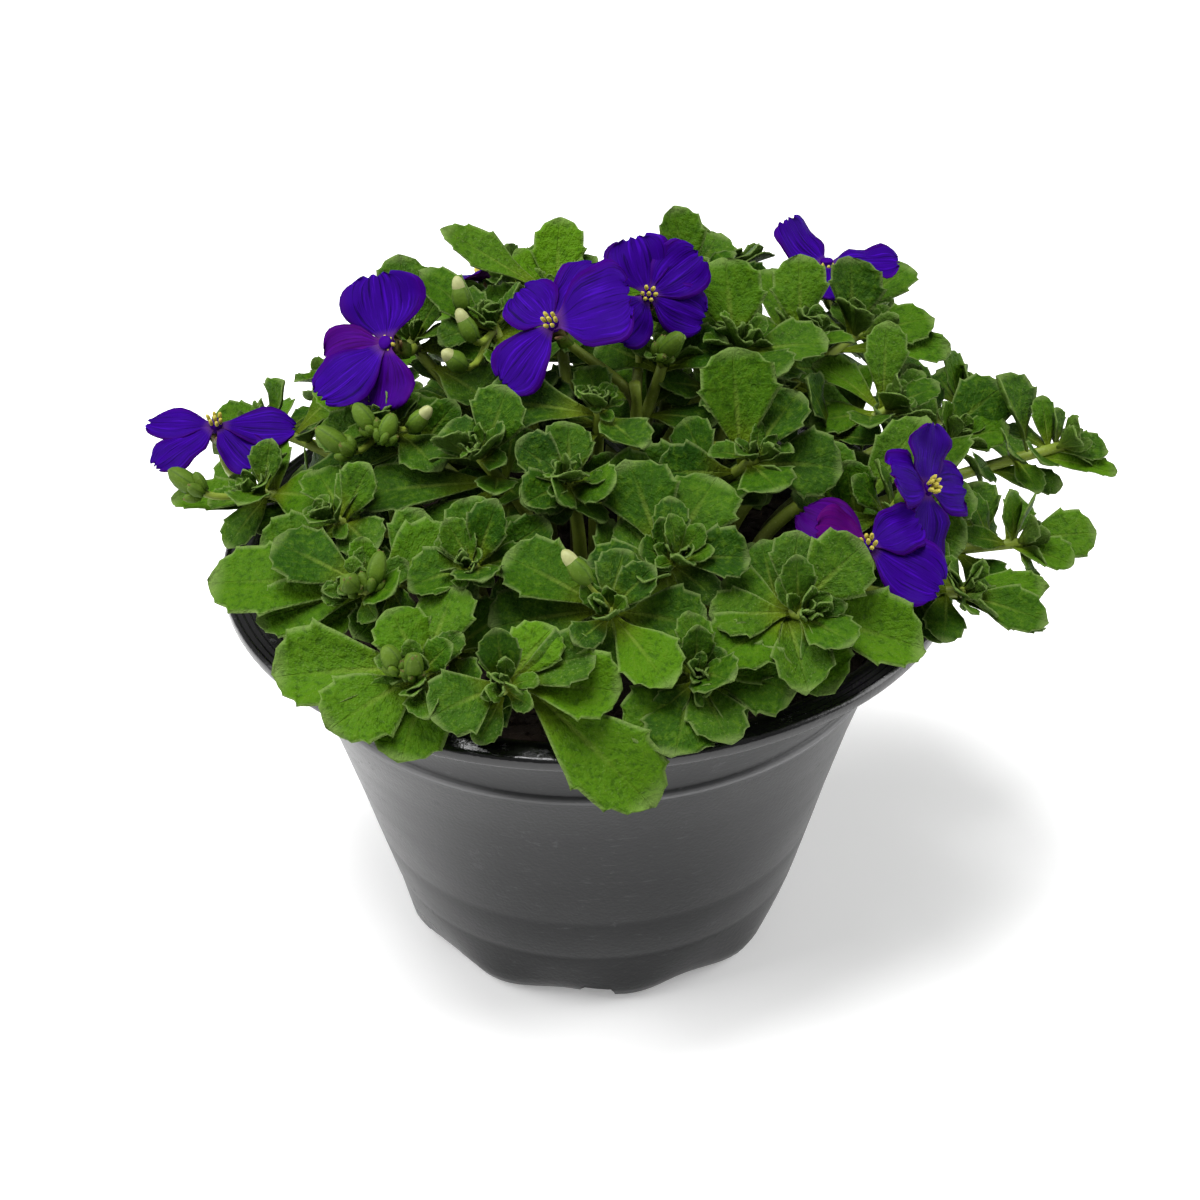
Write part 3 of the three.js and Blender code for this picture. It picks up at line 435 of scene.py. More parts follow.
class Path:
    """A smooth curve through the air, measured along its length."""

    STEPS = 200

    def __init__(self, start, first, last, end):
        self.pulls = [Vector(p) for p in (start, first, last, end)]
        self.run = [0.0]
        before = self.at(0)
        for step in range(1, self.STEPS + 1):
            here = self.at(step / self.STEPS)
            self.run.append(self.run[-1] + (here - before).length)
            before = here
        self.length = self.run[-1]

    def at(self, t):
        """The place at the curve's own value."""
        a, b, c, d = self.pulls
        s = 1 - t
        return a * s**3 + b * (3 * s * s * t) + c * (3 * s * t * t) + d * t**3

    def share(self, part):
        """The curve's own value at a share of its length."""
        want = min(max(part, 0), 1) * self.length
        low, high = 0, self.STEPS
        while high - low > 1:
            middle = (low + high) // 2
            if self.run[middle] <= want:
                low = middle
            else:
                high = middle
        return (low + (want - self.run[low]) / (self.run[high] - self.run[low])) / self.STEPS

    def point(self, part):
        """The place at a share of the length."""
        return self.at(self.share(part))

    def heading(self, part):
        """The direction at a share of the length."""
        t = self.share(part)
        return (self.at(min(1, t + 0.0001)) - self.at(max(0, t - 0.0001))).normalized()


def stem_path(heart):
    """A stem that rises from the soil and bends outwards to the shoot's heart."""
    reach = math.hypot(heart.x, heart.y)
    ground = soil_height(reach * ROOT_SPREAD)
    foot = Vector((heart.x * ROOT_SPREAD, heart.y * ROOT_SPREAD, ground - STEM_DEPTH))
    rise = heart.z - ground + STEM_DEPTH
    arriving = direction(math.degrees(math.atan2(heart.y, heart.x)), 90 - min(78, 1.35 * reach))
    first = foot + UP * (0.62 * rise)
    last = heart - arriving * (0.36 * math.hypot(rise, reach * 0.58))
    return Path(foot, first, last, heart)


def shoot_axis(heart):
    """The direction in which a shoot ends, leaning out the further it is from the middle."""
    reach = math.hypot(heart.x, heart.y)
    lean = LEAN_AT_RIM * min(1.2, reach / RIM_RADIUS) ** 1.5
    return direction(math.degrees(math.atan2(heart.y, heart.x)), 90 - lean)


def full_leaf(leaf):
    """A listed leaf with its sixth value, how far below the heart it leaves the stem."""
    return leaf if len(leaf) == 6 else (*leaf, BELOW_HEART)


def leaves_of(shoot, more, seen):
    """The seen leaves, then each further one in the widest gap between the headings taken."""
    number = shoot.number
    leaves = [full_leaf(leaf) for leaf in seen]
    total = len(seen) + more
    for k in range(len(seen), total):
        taken = sorted(leaf[0] % 360 for leaf in leaves)
        heading, widest = 360 * draw(number, k, 1), -1
        for start, end in zip(taken, taken[1:] + [taken[0] + 360] if taken else []):
            if end - start > widest:
                widest, heading = end - start, (start + end) / 2
        heading += 24 * (draw(number, k, 2) - 0.5)
        inward = k / (total - 1) if total > 1 else 0
        length = (17.5 - 8.5 * inward) * (0.88 + 0.24 * draw(number, k, 3))
        pitch = shoot.level(heading) + 8 + 42 * inward + 12 * (draw(number, k, 4) - 0.5)
        width = length * (0.62 + 0.14 * draw(number, k, 5))
        leaves.append((heading, pitch, length, width, 26 - 20 * inward, 5.5 - 4 * inward))
    return leaves


@dataclass
class Blade:
    """A leaf or petal: it leaves its root in the direction along, and face is its upper side. Its
    droop is in degrees over its length; cup and fold lift its sides, skew leans its rows."""

    root: Vector
    along: Vector
    face: Vector
    length: float
    width: float
    droop: float = 0
    twist: float = 0
    cup: float = 0.16
    fold: float = 0
    skew: float = 0
    ripple: float = 0
    waves: float = 3
    phase: float = 0
    pleats: float = 0
    thickness: float = 0.36

    def place(self, u, out, lift=0):
        """The point at a share of the length, out to one side, and lifted off the blade."""
        side = self.face.cross(self.along)
        bend = math.radians(self.droop if abs(self.droop) >= 1 else 1)
        turned = bend * u
        radius = self.length / bend
        sine, cosine = math.sin(turned), math.cos(turned)
        normal = self.face * cosine + self.along * sine
        middle = self.root + self.along * (radius * sine) + self.face * (radius * (cosine - 1))
        return middle + side * out + normal * (self.twist * out * u + lift)


def face_towards(open_side, along):
    """The direction nearest to the open side that is square to a blade's own direction."""
    return (open_side - along * open_side.dot(along)).normalized()


def leaf_blade(shoot, leaf, twist, bend=(0, 0, 1)):
    """A leaf as its shoot holds it, with the bend that took it clear of its neighbours."""
    heading, pitch, length, width, droop, below = leaf
    turn, lift, share = bend
    along = direction(heading + turn, min(84, pitch + lift))
    return Blade(
        root=shoot.stem.point(1 - below / shoot.stem.length),
        along=along,
        face=face_towards(shoot.axis * OWN_FACE + direction(*LIGHT), along),
        length=length * share,
        width=width * math.sqrt(share),
        droop=droop,
        twist=twist,
    )


def corners_for(length):
    """The corners that the solids give a leaf of this length."""
    if length >= LARGE_FROM:
        return LARGE_CORNERS
    return SMALL_CORNERS if length < SMALL_BELOW else MIDDLE_CORNERS


def solid_points(node):
    """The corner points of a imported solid, ready for finding the nearest, in millimetres."""
    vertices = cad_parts[node].data.vertices
    points = KDTree(len(vertices))
    for i, vertex in enumerate(vertices):
        points.insert(vertex.co / MM, i)
    points.balance()
    return points


def bend_used(points, shoot, leaf, twist):
    """Which of the bends the solid's leaf took, or None where the leaf was left out."""
    best, found = MATCH_SHARE, None
    for bend in BENDS:
        blade = leaf_blade(shoot, leaf, twist, bend)
        corners = [
            blade.place(u, edge * blade.width / 2, level * BLADE_THICKNESS / 2)
            for u, v in [*corners_for(blade.length), (1, 0)]
            for level in (1, -1)
            for edge in (v, -v)
        ]
        share = sum(points.find(corner)[2] < MATCH_WITHIN for corner in corners) / len(corners)
        if share > best:
            best, found = share, bend
    return found


class Spacing:
    """Points on what is already placed, kept by cells, to find room for one more leaf."""

    CELL = 3.0

    def __init__(self):
        self.cells = {}

    def cell(self, point):
        """The cell that holds a point."""
        return tuple(math.floor(c / self.CELL) for c in point)

    def add(self, points):
        """Keeps further points."""
        for point in points:
            self.cells.setdefault(self.cell(point), []).append(point)

    def nearest(self, point):
        """The distance to the nearest point kept, or the size of a cell where none is near."""
        a, b, c = self.cell(point)
        gaps = [
            (other - point).length
            for i in (a - 1, a, a + 1)
            for j in (b - 1, b, b + 1)
            for k in (c - 1, c, c + 1)
            for other in self.cells.get((i, j, k), ())
        ]
        return min(gaps, default=self.CELL)


def spots_on(blade, start=0.3):
    """Points spread over a blade beyond its neck."""
    rows = max(3, round(blade.length / 2.2))
    spots = []
    for row in range(rows + 1):
        u = start + (1 - start) * row / rows
        for v in (-0.8, -0.3, 0.3, 0.8):
            spots.append(blade.place(u, v * half_at(MIDDLE_EDGE, u) * blade.width / 2))
    return spots


def half_at(edge, u):
    """How far out an edge is at a share of the length."""
    for (a, first), (b, second) in zip(edge, edge[1:]):
        if u <= b:
            return first + (second - first) * (u - a) / (b - a)
    return edge[-1][1]


# Shapes to repeat

def as_template(name, shape):
    """A mesh made from a shape that is no longer needed."""
    mesh = bpy.data.meshes.new(name)
    shape.to_mesh(mesh)
    shape.free()
    return mesh


def sheet_template(name, columns, edge):
    """A thin closed sheet: x across from -1 to 1, y the row of the edge, z 0.5 above and -0.5 below."""
    rows = len(edge) - 1
    shape = bmesh.new()
    bmesh.ops.create_grid(shape, x_segments=columns, y_segments=rows, size=1)
    sheet = bmesh.ops.extrude_face_region(shape, geom=shape.faces[:])
    top = [part for part in sheet["geom"] if isinstance(part, bmesh.types.BMVert)]
    bmesh.ops.translate(shape, vec=(0, 0, 1), verts=top)
    bmesh.ops.translate(shape, vec=(0, 0, -0.5), verts=shape.verts)
    bmesh.ops.recalc_face_normals(shape, faces=shape.faces)
    bmesh.ops.reverse_faces(shape, faces=shape.faces)
    for vert in shape.verts:
        vert.co.y = round((vert.co.y + 1) / 2 * rows)
    return as_template(name, shape)


def tube_template(name, sides, rings):
    """A closed tube of radius 1 that runs from z 0 to 1."""
    shape = bmesh.new()
    bmesh.ops.create_cone(shape, cap_ends=True, segments=sides, radius1=1, radius2=1, depth=1)
    bmesh.ops.translate(shape, vec=(0, 0, 0.5), verts=shape.verts)
    uprights = [e for e in shape.edges if abs(e.verts[0].co.z - e.verts[1].co.z) > 0.5]
    bmesh.ops.subdivide_edges(shape, edges=uprights, cuts=rings - 1)
    return as_template(name, shape)


def spun(profile, sides):
    """A round form about the z axis, from the radius and height of each point of its profile."""
    shape = bmesh.new()
    line = [shape.verts.new((radius, 0, height)) for radius, height in profile]
    edges = [shape.edges.new(pair) for pair in zip(line, line[1:])]
    bmesh.ops.spin(
        shape, geom=line + edges, axis=(0, 0, 1), cent=(0, 0, 0), angle=FULL_TURN, steps=sides,
        use_merge=True,
    )
    bmesh.ops.remove_doubles(shape, verts=shape.verts, dist=0.0001)
    bmesh.ops.recalc_face_normals(shape, faces=shape.faces)
    return shape


SHEETS = {
    "large": (8, LARGE_EDGE),
    "middle": (6, MIDDLE_EDGE),
    "small": (4, SMALL_EDGE),
    "young": (4, YOUNG_EDGE),
    "petal": (14, PETAL_EDGE),
    "sepal": (2, SEPAL_EDGE),
}
TUBES = {"stem": (8, 14), "stalk": (6, 8)}
ROUND_FORMS = {"bud": (BUD_PROFILE, 12), "calyx": (CALYX_PROFILE, 12), "anther": (ANTHER_PROFILE, 6)}
TEMPLATES = {
    **{name: sheet_template(name, *sheet) for name, sheet in SHEETS.items()},
    **{name: tube_template(name, *tube) for name, tube in TUBES.items()},
    **{name: as_template(name, spun(*form)) for name, form in ROUND_FORMS.items()},
}


class Shape:
    """A growing mesh whose points carry marks for its finish. On round forms, across is 1 on the ribs
    and -1 between them."""

    def __init__(self):
        self.mesh = bmesh.new()
        self.blade, self.state = map(self.mesh.verts.layers.float_vector.new, MARKS)

    def add(self, template, settle, slot):
        """Adds a template, with each of its points moved and marked by settle."""
        mesh = self.mesh
        first_vert, first_face = len(mesh.verts), len(mesh.faces)
        mesh.from_mesh(TEMPLATES[template])
        mesh.verts.ensure_lookup_table()
        mesh.faces.ensure_lookup_table()
        for vert in mesh.verts[first_vert:]:
            vert.co, vert[self.blade], vert[self.state] = settle(vert.co.copy())
        for face in mesh.faces[first_face:]:
            face.material_index = slot
            face.smooth = True

    def sheet(self, template, blade, slot, tone=0.5, fresh=0.0, hairy=0.2, rim=0.0, turned=0):
        """Adds a blade. Its rim may be thinner than its middle, and a turned one shows its back."""
        _, edge = SHEETS[template]

        def settle(mark):
            u, half = edge[round(mark.y)]
            v = mark.x
            out = v * half * blade.width / 2
            u += blade.skew * v * u * (1.1 - u)
            wave = blade.ripple * math.sin(blade.waves * math.pi * u + blade.phase + 1.6 * v)
            pleat = blade.pleats * u * u * math.sin(PLEATS * v + blade.phase)
            depth = NOTCH_DEPTH * (blade.pleats > 0)
            u -= depth * u * math.sin(1.6 * PLEATS * v + 2 * blade.phase)
            lift = (
                (blade.cup * abs(v) + blade.fold) * abs(out)
                + wave * abs(v) * min(1, 2 * u)
                + pleat
                + mark.z * blade.thickness * (1 - rim * v * v)
            )
            under = 0.5 - mark.z * (1 - 2 * turned)
            return blade.place(u, out, lift), (v, u, tone), (under, fresh, hairy)

        self.add(template, settle, slot)

    def along(self, template, path, radius, slot, tone=0.5):
        """Adds a tube that follows a path; radius gives its thickness at each share of the length."""
        across, _ = across_from(path.heading(0))

        def settle(mark):
            part = mark.z
            here = path.heading(part)
            first = (across - here * across.dot(here)).normalized()
            second = here.cross(first)
            place = path.point(part) + (first * mark.x + second * mark.y) * radius(part)
            return place, (mark.x, part, tone), (0.0, 0.0, 0.0)

        self.add(template, settle, slot)

    def stood(self, template, foot, axis, radius, height, slot, tone=0.5, fresh=0.0, ribs=0, rib=0.0):
        """Adds a round template stood along an axis, with shallow ribs up its side."""
        first, second = across_from(axis)

        def settle(mark):
            ridge = math.cos(ribs * math.atan2(mark.y, mark.x))
            grown = radius * (1 + rib * ridge)
            place = foot + (first * mark.x + second * mark.y) * grown + axis * (mark.z * height)
            return place, (ridge, mark.z, tone), (0.0, fresh, 0.0)

        self.add(template, settle, slot)


def add_piece(name, mesh, finishes, nodes):
    """Makes the finished piece, in metres, in place of the solids that it stands for."""
    bmesh.ops.scale(mesh, vec=(MM, MM, MM), verts=mesh.verts)
    data = bpy.data.meshes.new(name)
    mesh.to_mesh(data)
    mesh.free()
    for finish in finishes:
        data.materials.append(finish)
    piece = bpy.data.objects.new(name, data)
    bpy.context.scene.collection.objects.link(piece)
    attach(piece, "root")
    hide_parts(*nodes)
    return piece


# Finishes

# The colour sockets of a mix node, which share their names with its other sockets
MIX_FIRST, MIX_SECOND, MIX_RESULT = 6, 7, 2


class Nodes:
    """Adds linked shader nodes to a material or a node group."""

    def __init__(self, tree):
        self.tree = tree

    def add(self, kind, inputs=None, **settings):
        """A new node with its settings, and with its inputs linked or set."""
        node = self.tree.nodes.new(kind)
        for key, value in settings.items():
            setattr(node, key, value)
        for key, value in (inputs or {}).items():
            self.put(value, node.inputs[key])
        return node

    def put(self, value, socket):
        """Links another node's value to a socket, or sets a plain one."""
        if isinstance(value, bpy.types.NodeSocket):
            self.tree.links.new(value, socket)
        else:
            socket.default_value = value

    def math(self, operation, *values, clamp=False):
        """One step of arithmetic on values."""
        inputs = dict(enumerate(values))
        return self.add("ShaderNodeMath", inputs, operation=operation, use_clamp=clamp).outputs[0]

    def times(self, first, *others):
        """The product of values."""
        for other in others:
            first = self.math("MULTIPLY", first, other)
        return first

    def total(self, *parts):
        """The sum of values, each one times its own weight."""
        first, *others = (self.times(value, weight) for value, weight in parts)
        for other in others:
            first = self.math("ADD", first, other)
        return first

    def spread(self, value, low, high, least=0.0, most=1.0):
        """A value between low and high, carried over smoothly to least and most."""
        inputs = {"Value": value, "From Min": low, "From Max": high, "To Min": least, "To Max": most}
        node = self.add("ShaderNodeMapRange", inputs, interpolation_type="SMOOTHSTEP")
        return node.outputs["Result"]

    def mix(self, share, first, second):
        """One colour carried over to another by a share."""
        node = self.add("ShaderNodeMix", data_type="RGBA")
        self.put(share, node.inputs["Factor"])
        for colour, socket in ((first, MIX_FIRST), (second, MIX_SECOND)):
            given = isinstance(colour, bpy.types.NodeSocket)
            self.put(colour if given else (*colour, 1), node.inputs[socket])
        return node.outputs[MIX_RESULT]

    def coats(self, colour, *coats):
        """A colour with further ones laid over it in turn, each by a mask and a strength."""
        for mask, strength, coat in coats:
            colour = self.mix(self.times(mask, strength), colour, coat)
        return colour

    def noise(self, scale, detail=2, where=None, roughness=0.5):
        """Cloudy noise from 0 to 1 over the object, or over another vector."""
        inputs = {"Scale": scale, "Detail": detail, "Roughness": roughness}
        inputs["Vector"] = where or self.add("ShaderNodeTexCoord").outputs["Object"]
        return self.add("ShaderNodeTexNoise", inputs).outputs["Fac"]

    def group(self, group, **inputs):
        """The outputs of a node group whose inputs are linked or set."""
        node = self.add("ShaderNodeGroup", node_tree=group)
        for key, value in inputs.items():
            self.put(value, node.inputs[key])
        return node.outputs


def new_group(name, inputs, outputs):
    """A node group with named values going in and coming out, and a helper for its nodes."""
    group = bpy.data.node_groups.new(name, "ShaderNodeTree")
    for label, value in inputs.items():
        kind = "NodeSocketFloat" if isinstance(value, (int, float)) else "NodeSocketVector"
        socket = group.interface.new_socket(label, in_out="INPUT", socket_type=kind)
        socket.default_value = value
    for label in outputs:
        group.interface.new_socket(label, in_out="OUTPUT", socket_type="NodeSocketFloat")
    nodes = Nodes(group)
    return group, nodes, nodes.add("NodeGroupInput").outputs, nodes.add("NodeGroupOutput").inputs


def mottling_group():
    """Soft patches over a surface, as a value that swings about a half."""
    group, nodes, given, out = new_group("mottling", {"Scale": 120.0, "Strength": 0.5}, ["Value"])
    patches = nodes.noise(given["Scale"], 3)
    swing = nodes.times(nodes.math("SUBTRACT", patches, 0.5), given["Strength"])
    nodes.put(nodes.math("ADD", swing, 0.5, clamp=True), out["Value"])
    return group


def hairs_group():
    """Fine short hairs: bright specks, and the height that they stand up."""
    group, nodes, given, out = new_group("fine_hairs", {"Scale": 2400.0}, ["Specks", "Height"])
    fine = nodes.noise(given["Scale"], 2, roughness=0.7)
    nodes.put(nodes.spread(fine, 0.56, 0.72), out["Specks"])
    nodes.put(fine, out["Height"])
    return group


def veins_group():
    """Marks that follow a blade: its midrib, its side veins and its edge."""
    group, nodes, given, out = new_group(
        "blade_veins", {"Blade": (0.0, 0.0, 0.0), "Veins": 8.0, "Slope": 0.55, "Midrib": 0.07},
        ["Midrib", "Veins", "Edge"],
    )
    parts = nodes.add("ShaderNodeSeparateXYZ", {0: given["Blade"]}).outputs
    out_from_middle, along = nodes.math("ABSOLUTE", parts["X"]), parts["Y"]
    taper = nodes.times(given["Midrib"], nodes.spread(along, 0.3, 1.0, 1.6, 0.35))
    line = nodes.math("DIVIDE", out_from_middle, taper)
    nodes.put(nodes.spread(line, 1.4, 0.3), out["Midrib"])
    slanted = nodes.math("SUBTRACT", along, nodes.times(out_from_middle, given["Slope"]))
    wave = nodes.math("PINGPONG", nodes.times(slanted, given["Veins"]), 0.5)
    fade = nodes.spread(out_from_middle, 0.95, 0.4)
    nodes.put(nodes.times(nodes.spread(wave, 0.16, 0.02), fade), out["Veins"])
    rim = nodes.math("MAXIMUM", out_from_middle, nodes.times(along, 0.985))
    nodes.put(nodes.spread(rim, 0.86, 0.99), out["Edge"])
    return group


MOTTLING = mottling_group()
HAIRS = hairs_group()
VEINS = veins_group()


class Finish(Nodes):
    """A material whose shader has its fixed values set, and a helper for its nodes."""

    def __init__(self, name, **constants):
        self.material = bpy.data.materials.new(name)
        self.material.use_nodes = True
        super().__init__(self.material.node_tree)
        self.surface = self.tree.nodes["Principled BSDF"].inputs
        for label, value in constants.items():
            self.surface[label.replace("_", " ")].default_value = value

    def marks(self):
        """The marks of a Shape's points by name, and the first three of them in one as "blade"."""
        marks = {}
        for attribute, names in MARKS.items():
            vector = self.add("ShaderNodeAttribute", attribute_name=attribute).outputs["Vector"]
            parts = self.add("ShaderNodeSeparateXYZ", {0: vector}).outputs
            marks[attribute] = vector
            marks.update(zip(names, parts))
        return marks

    def done(self, colour, roughness, height, strength, distance):
        """Links the surface's colour, roughness and relief, and gives the material."""
        self.put(colour, self.surface["Base Color"])
        self.put(roughness, self.surface["Roughness"])
        relief = {"Height": height, "Strength": strength, "Distance": distance}
        self.put(self.add("ShaderNodeBump", relief).outputs["Normal"], self.surface["Normal"])
        return self.material


def leaf_finish():
    """Green between deep and fresh, paler at its foot, veins and edge, under a coat of fine hairs."""
    leaf = Finish("hairy_leaf", Specular_IOR_Level=0.05)
    mark = leaf.marks()
    veins = leaf.group(VEINS, Blade=mark["blade"])
    hairs = leaf.group(HAIRS)
    patches = leaf.group(MOTTLING, Scale=150.0, Strength=1.0)["Value"]
    depth = leaf.math("ADD", mark["tone"], leaf.math("SUBTRACT", patches, 0.5), clamp=True)
    quilt = leaf.noise(850.0, 3, roughness=0.65)
    # Painted light and shade on the quilted relief: paler on its bumps, darker in its hollows, from the
    # same noise as the bump
    painted_light_on_bumps, painted_shade_in_hollows = leaf.spread(quilt, 0.5, 0.66), leaf.spread(quilt, 0.49, 0.34)
    foot = leaf.spread(mark["along"], 0.5, 0.0)
    midrib = leaf.times(veins["Midrib"], leaf.spread(mark["along"], 0.85, 0.2, 0.08, 0.6))
    specks = leaf.times(hairs["Specks"], leaf.spread(mark["hairy"], 0.0, 1.0, 0.1, 0.6))
    colour = leaf.coats(
        leaf.mix(depth, (0.0045, 0.026, 0.0004), (0.026, 0.08, 0.001)),
        (mark["fresh"], 0.9, (0.056, 0.142, 0.0008)),
        (mark["hairy"], 0.6, (0.05, 0.103, 0.011)),
        (painted_light_on_bumps, 0.4, (0.064, 0.128, 0.005)),
        (painted_shade_in_hollows, 0.45, (0.004, 0.022, 0.0004)),
        (foot, 0.75, (0.125, 0.165, 0.007)),
        (veins["Veins"], 0.12, (0.07, 0.13, 0.01)),
        (midrib, 1, (0.13, 0.19, 0.025)),
        (veins["Edge"], 0.43, (0.185, 0.25, 0.08)),
        (specks, 1, (0.17, 0.23, 0.075)),
        (mark["under"], 0.4, (0.06, 0.105, 0.016)),
    )
    height = leaf.total(
        (quilt, 1.6), (hairs["Height"], 0.5), (veins["Midrib"], -0.35), (veins["Veins"], -0.12)
    )
    return leaf.done(colour, leaf.spread(patches, 0.2, 0.8, 0.62, 0.46), height, 0.8, 0.00045)


def stem_finish():
    """Yellow-green in soft patches with fine hairs, brown at its foot."""
    stem = Finish("yellow_green_stem", Specular_IOR_Level=0.25)
    patches = stem.group(MOTTLING, Scale=260.0, Strength=0.8)["Value"]
    hairs = stem.group(HAIRS)
    foot = stem.spread(stem.marks()["along"], 0.45, 0.0)
    colour = stem.coats(
        stem.mix(patches, (0.1, 0.15, 0.01), (0.21, 0.27, 0.03)),
        (foot, 1, (0.06, 0.05, 0.02)),
        (hairs["Specks"], 0.35, (0.28, 0.33, 0.12)),
    )
    return stem.done(colour, stem.spread(patches, 0.2, 0.8, 0.6, 0.45), hairs["Height"], 0.35, 0.0002)


def bud_finish():
    """Green with darker edges and brown tips, for buds and calyxes. The fresh mark says how brown."""
    bud = Finish("bud_green", Specular_IOR_Level=0.12)
    mark = bud.marks()
    hairs = bud.group(HAIRS)
    patches = bud.group(MOTTLING, Scale=420.0, Strength=1.0)["Value"]
    edge = bud.spread(bud.math("ABSOLUTE", mark["across"]), 0.5, 1.0)
    brown = bud.times(mark["fresh"], bud.spread(mark["along"], 0.2, 0.9))
    colour = bud.coats(
        bud.mix(patches, (0.03, 0.074, 0.003), (0.085, 0.15, 0.01)),
        (edge, 0.6, (0.02, 0.048, 0.005)),
        (brown, 1, (0.12, 0.055, 0.03)),
        (hairs["Specks"], 0.3, (0.15, 0.21, 0.06)),
    )
    return bud.done(colour, bud.spread(patches, 0.2, 0.8, 0.62, 0.48), hairs["Height"], 0.45, 0.00022)


def petal_finish():
    """Violet with fine rays that fan out from the claw, and a redder back."""
    petal = Finish("violet_petal", Specular_IOR_Level=0.02)
    mark = petal.marks()
    patches = petal.group(MOTTLING, Scale=240.0, Strength=0.8)["Value"]
    fan = petal.add("ShaderNodeCombineXYZ", {
        "X": petal.times(mark["across"], 9.0),
        "Y": petal.times(mark["along"], 0.8),
        "Z": petal.times(mark["tone"], 7.0),
    }).outputs[0]
    rays = petal.noise(1.6, 3, fan, roughness=0.6)
    dark_rays, bright_rays = petal.spread(rays, 0.54, 0.66), petal.spread(rays, 0.46, 0.32)
    edge = petal.spread(petal.math("ABSOLUTE", mark["across"]), 0.7, 1.0)
    claw = petal.spread(mark["along"], 0.22, 0.06)
    back = petal.times(mark["under"], petal.spread(rays, 0.3, 0.6, 0.9, 0.6))
    colour = petal.coats(
        petal.mix(patches, (0.0105, 0.0003, 0.072), (0.023, 0.0003, 0.172)),
        (dark_rays, 0.8, (0.0045, 0.0002, 0.028)),
        (bright_rays, 0.5, (0.045, 0.002, 0.33)),
        (edge, 0.4, (0.032, 0.0005, 0.075)),
        (claw, 0.7, (0.09, 0.03, 0.13)),
        (back, 1, (0.06, 0.0006, 0.065)),
    )
    return petal.done(colour, petal.spread(patches, 0.2, 0.8, 0.6, 0.46), rays, 0.5, 0.0003)


def anther_finish():
    """A grainy yellow."""
    anther = Finish("yellow_anther", Specular_IOR_Level=0.3)
    patches = anther.group(MOTTLING, Scale=1400.0, Strength=1.4)["Value"]
    colour = anther.mix(patches, (0.23, 0.18, 0.015), (0.5, 0.44, 0.07))
    return anther.done(colour, anther.spread(patches, 0.1, 0.9, 0.85, 0.6), patches, 0.6, 0.0002)


def pale_tip_finish():
    """Cream, greener at its foot."""
    tip = Finish("cream_bud_tip", Specular_IOR_Level=0.35)
    patches = tip.group(MOTTLING, Scale=700.0, Strength=0.9)["Value"]
    foot = tip.spread(tip.marks()["along"], 0.35, 0.0)
    colour = tip.coats(
        tip.mix(patches, (0.17, 0.19, 0.06), (0.35, 0.36, 0.16)),
        (foot, 1, (0.16, 0.21, 0.04)),
    )
    return tip.done(colour, tip.spread(patches, 0.1, 0.9, 0.6, 0.45), patches, 0.3, 0.0002)


def pot_finish(name, shine, dark, pale, smoothest, roughest, painted_flank_sheen_colour):
    """Moulded dark plastic with a fine grain, scuffs and faint bands, with a painted highlight along its
    step and painted sheen on its two flanks below the collar.
    """
    pot = Finish(name, Specular_IOR_Level=shine)
    here = pot.add("ShaderNodeTexCoord").outputs["Object"]
    parts = pot.add("ShaderNodeSeparateXYZ", {0: here}).outputs
    height = parts["Z"]
    clouds = pot.group(MOTTLING, Scale=45.0, Strength=1.0)["Value"]
    bands = pot.noise(260.0, 2, pot.add("ShaderNodeCombineXYZ", {"Z": height}).outputs[0])
    tone = pot.total((clouds, 0.6), (bands, 0.4))
    # Painted sheen: the body is paler on both flanks below the collar, in soft clouds, standing for the
    # side lamps' reflection
    flank = pot.spread(pot.math("ABSOLUTE", parts["X"]), 0.012, 0.046)
    below_collar = pot.spread(height, 0.063, 0.053)
    painted_flank_sheen = pot.times(flank, pot.spread(clouds, 0.1, 0.9, 0.7, 1.0), below_collar)
    scuffs = pot.spread(pot.noise(150.0, 6, roughness=0.75), 0.6, 0.72)
    stretched = pot.add("ShaderNodeMapping", {"Vector": here, "Scale": (1, 1, 7)}).outputs[0]
    scratches = pot.spread(pot.noise(260.0, 4, stretched, roughness=0.65), 0.62, 0.7)
    wear = pot.math("MAXIMUM", pot.times(scuffs, 0.6), pot.times(scratches, 0.4))
    # Painted highlight: a pale line painted round the pot along its step, patchy with the clouds
    off_ledge = pot.math("ABSOLUTE", pot.math("SUBTRACT", height, LEDGE_HEIGHT * MM))
    painted_ledge_highlight = pot.times(pot.spread(off_ledge, 0.0008, 0.0001), pot.spread(clouds, 0.2, 0.6, 0.35, 0.8))
    colour = pot.coats(
        pot.mix(tone, dark, pale),
        (painted_flank_sheen, 1, painted_flank_sheen_colour),
        (wear, 1, (0.09, 0.09, 0.093)),
        (painted_ledge_highlight, 1, (0.16, 0.16, 0.163)),
    )
    smooth = pot.spread(tone, 0.3, 0.7, smoothest, roughest)
    roughness = pot.math("ADD", smooth, pot.times(wear, 0.5), clamp=True)
    grain, dents = pot.noise(1600.0, 2), pot.noise(110.0, 3, roughness=0.6)
    return pot.done(colour, roughness, pot.total((grain, 1), (scuffs, 1), (dents, 1)), 0.2, 0.00025)


def soil_finish():
    """Dark clods with paler crumbs."""
    soil = Finish("potting_soil", Specular_IOR_Level=0.25)
    clods = soil.group(MOTTLING, Scale=230.0, Strength=1.5)["Value"]
    crumbs = soil.noise(900.0, 4, roughness=0.7)
    colour = soil.coats(
        soil.mix(clods, (0.007, 0.005, 0.004), (0.04, 0.026, 0.017)),
        (soil.spread(crumbs, 0.62, 0.72), 0.8, (0.12, 0.08, 0.05)),
    )
    return soil.done(colour, soil.spread(clods, 0.2, 0.8, 0.75, 0.95), crumbs, 0.9, 0.0008)


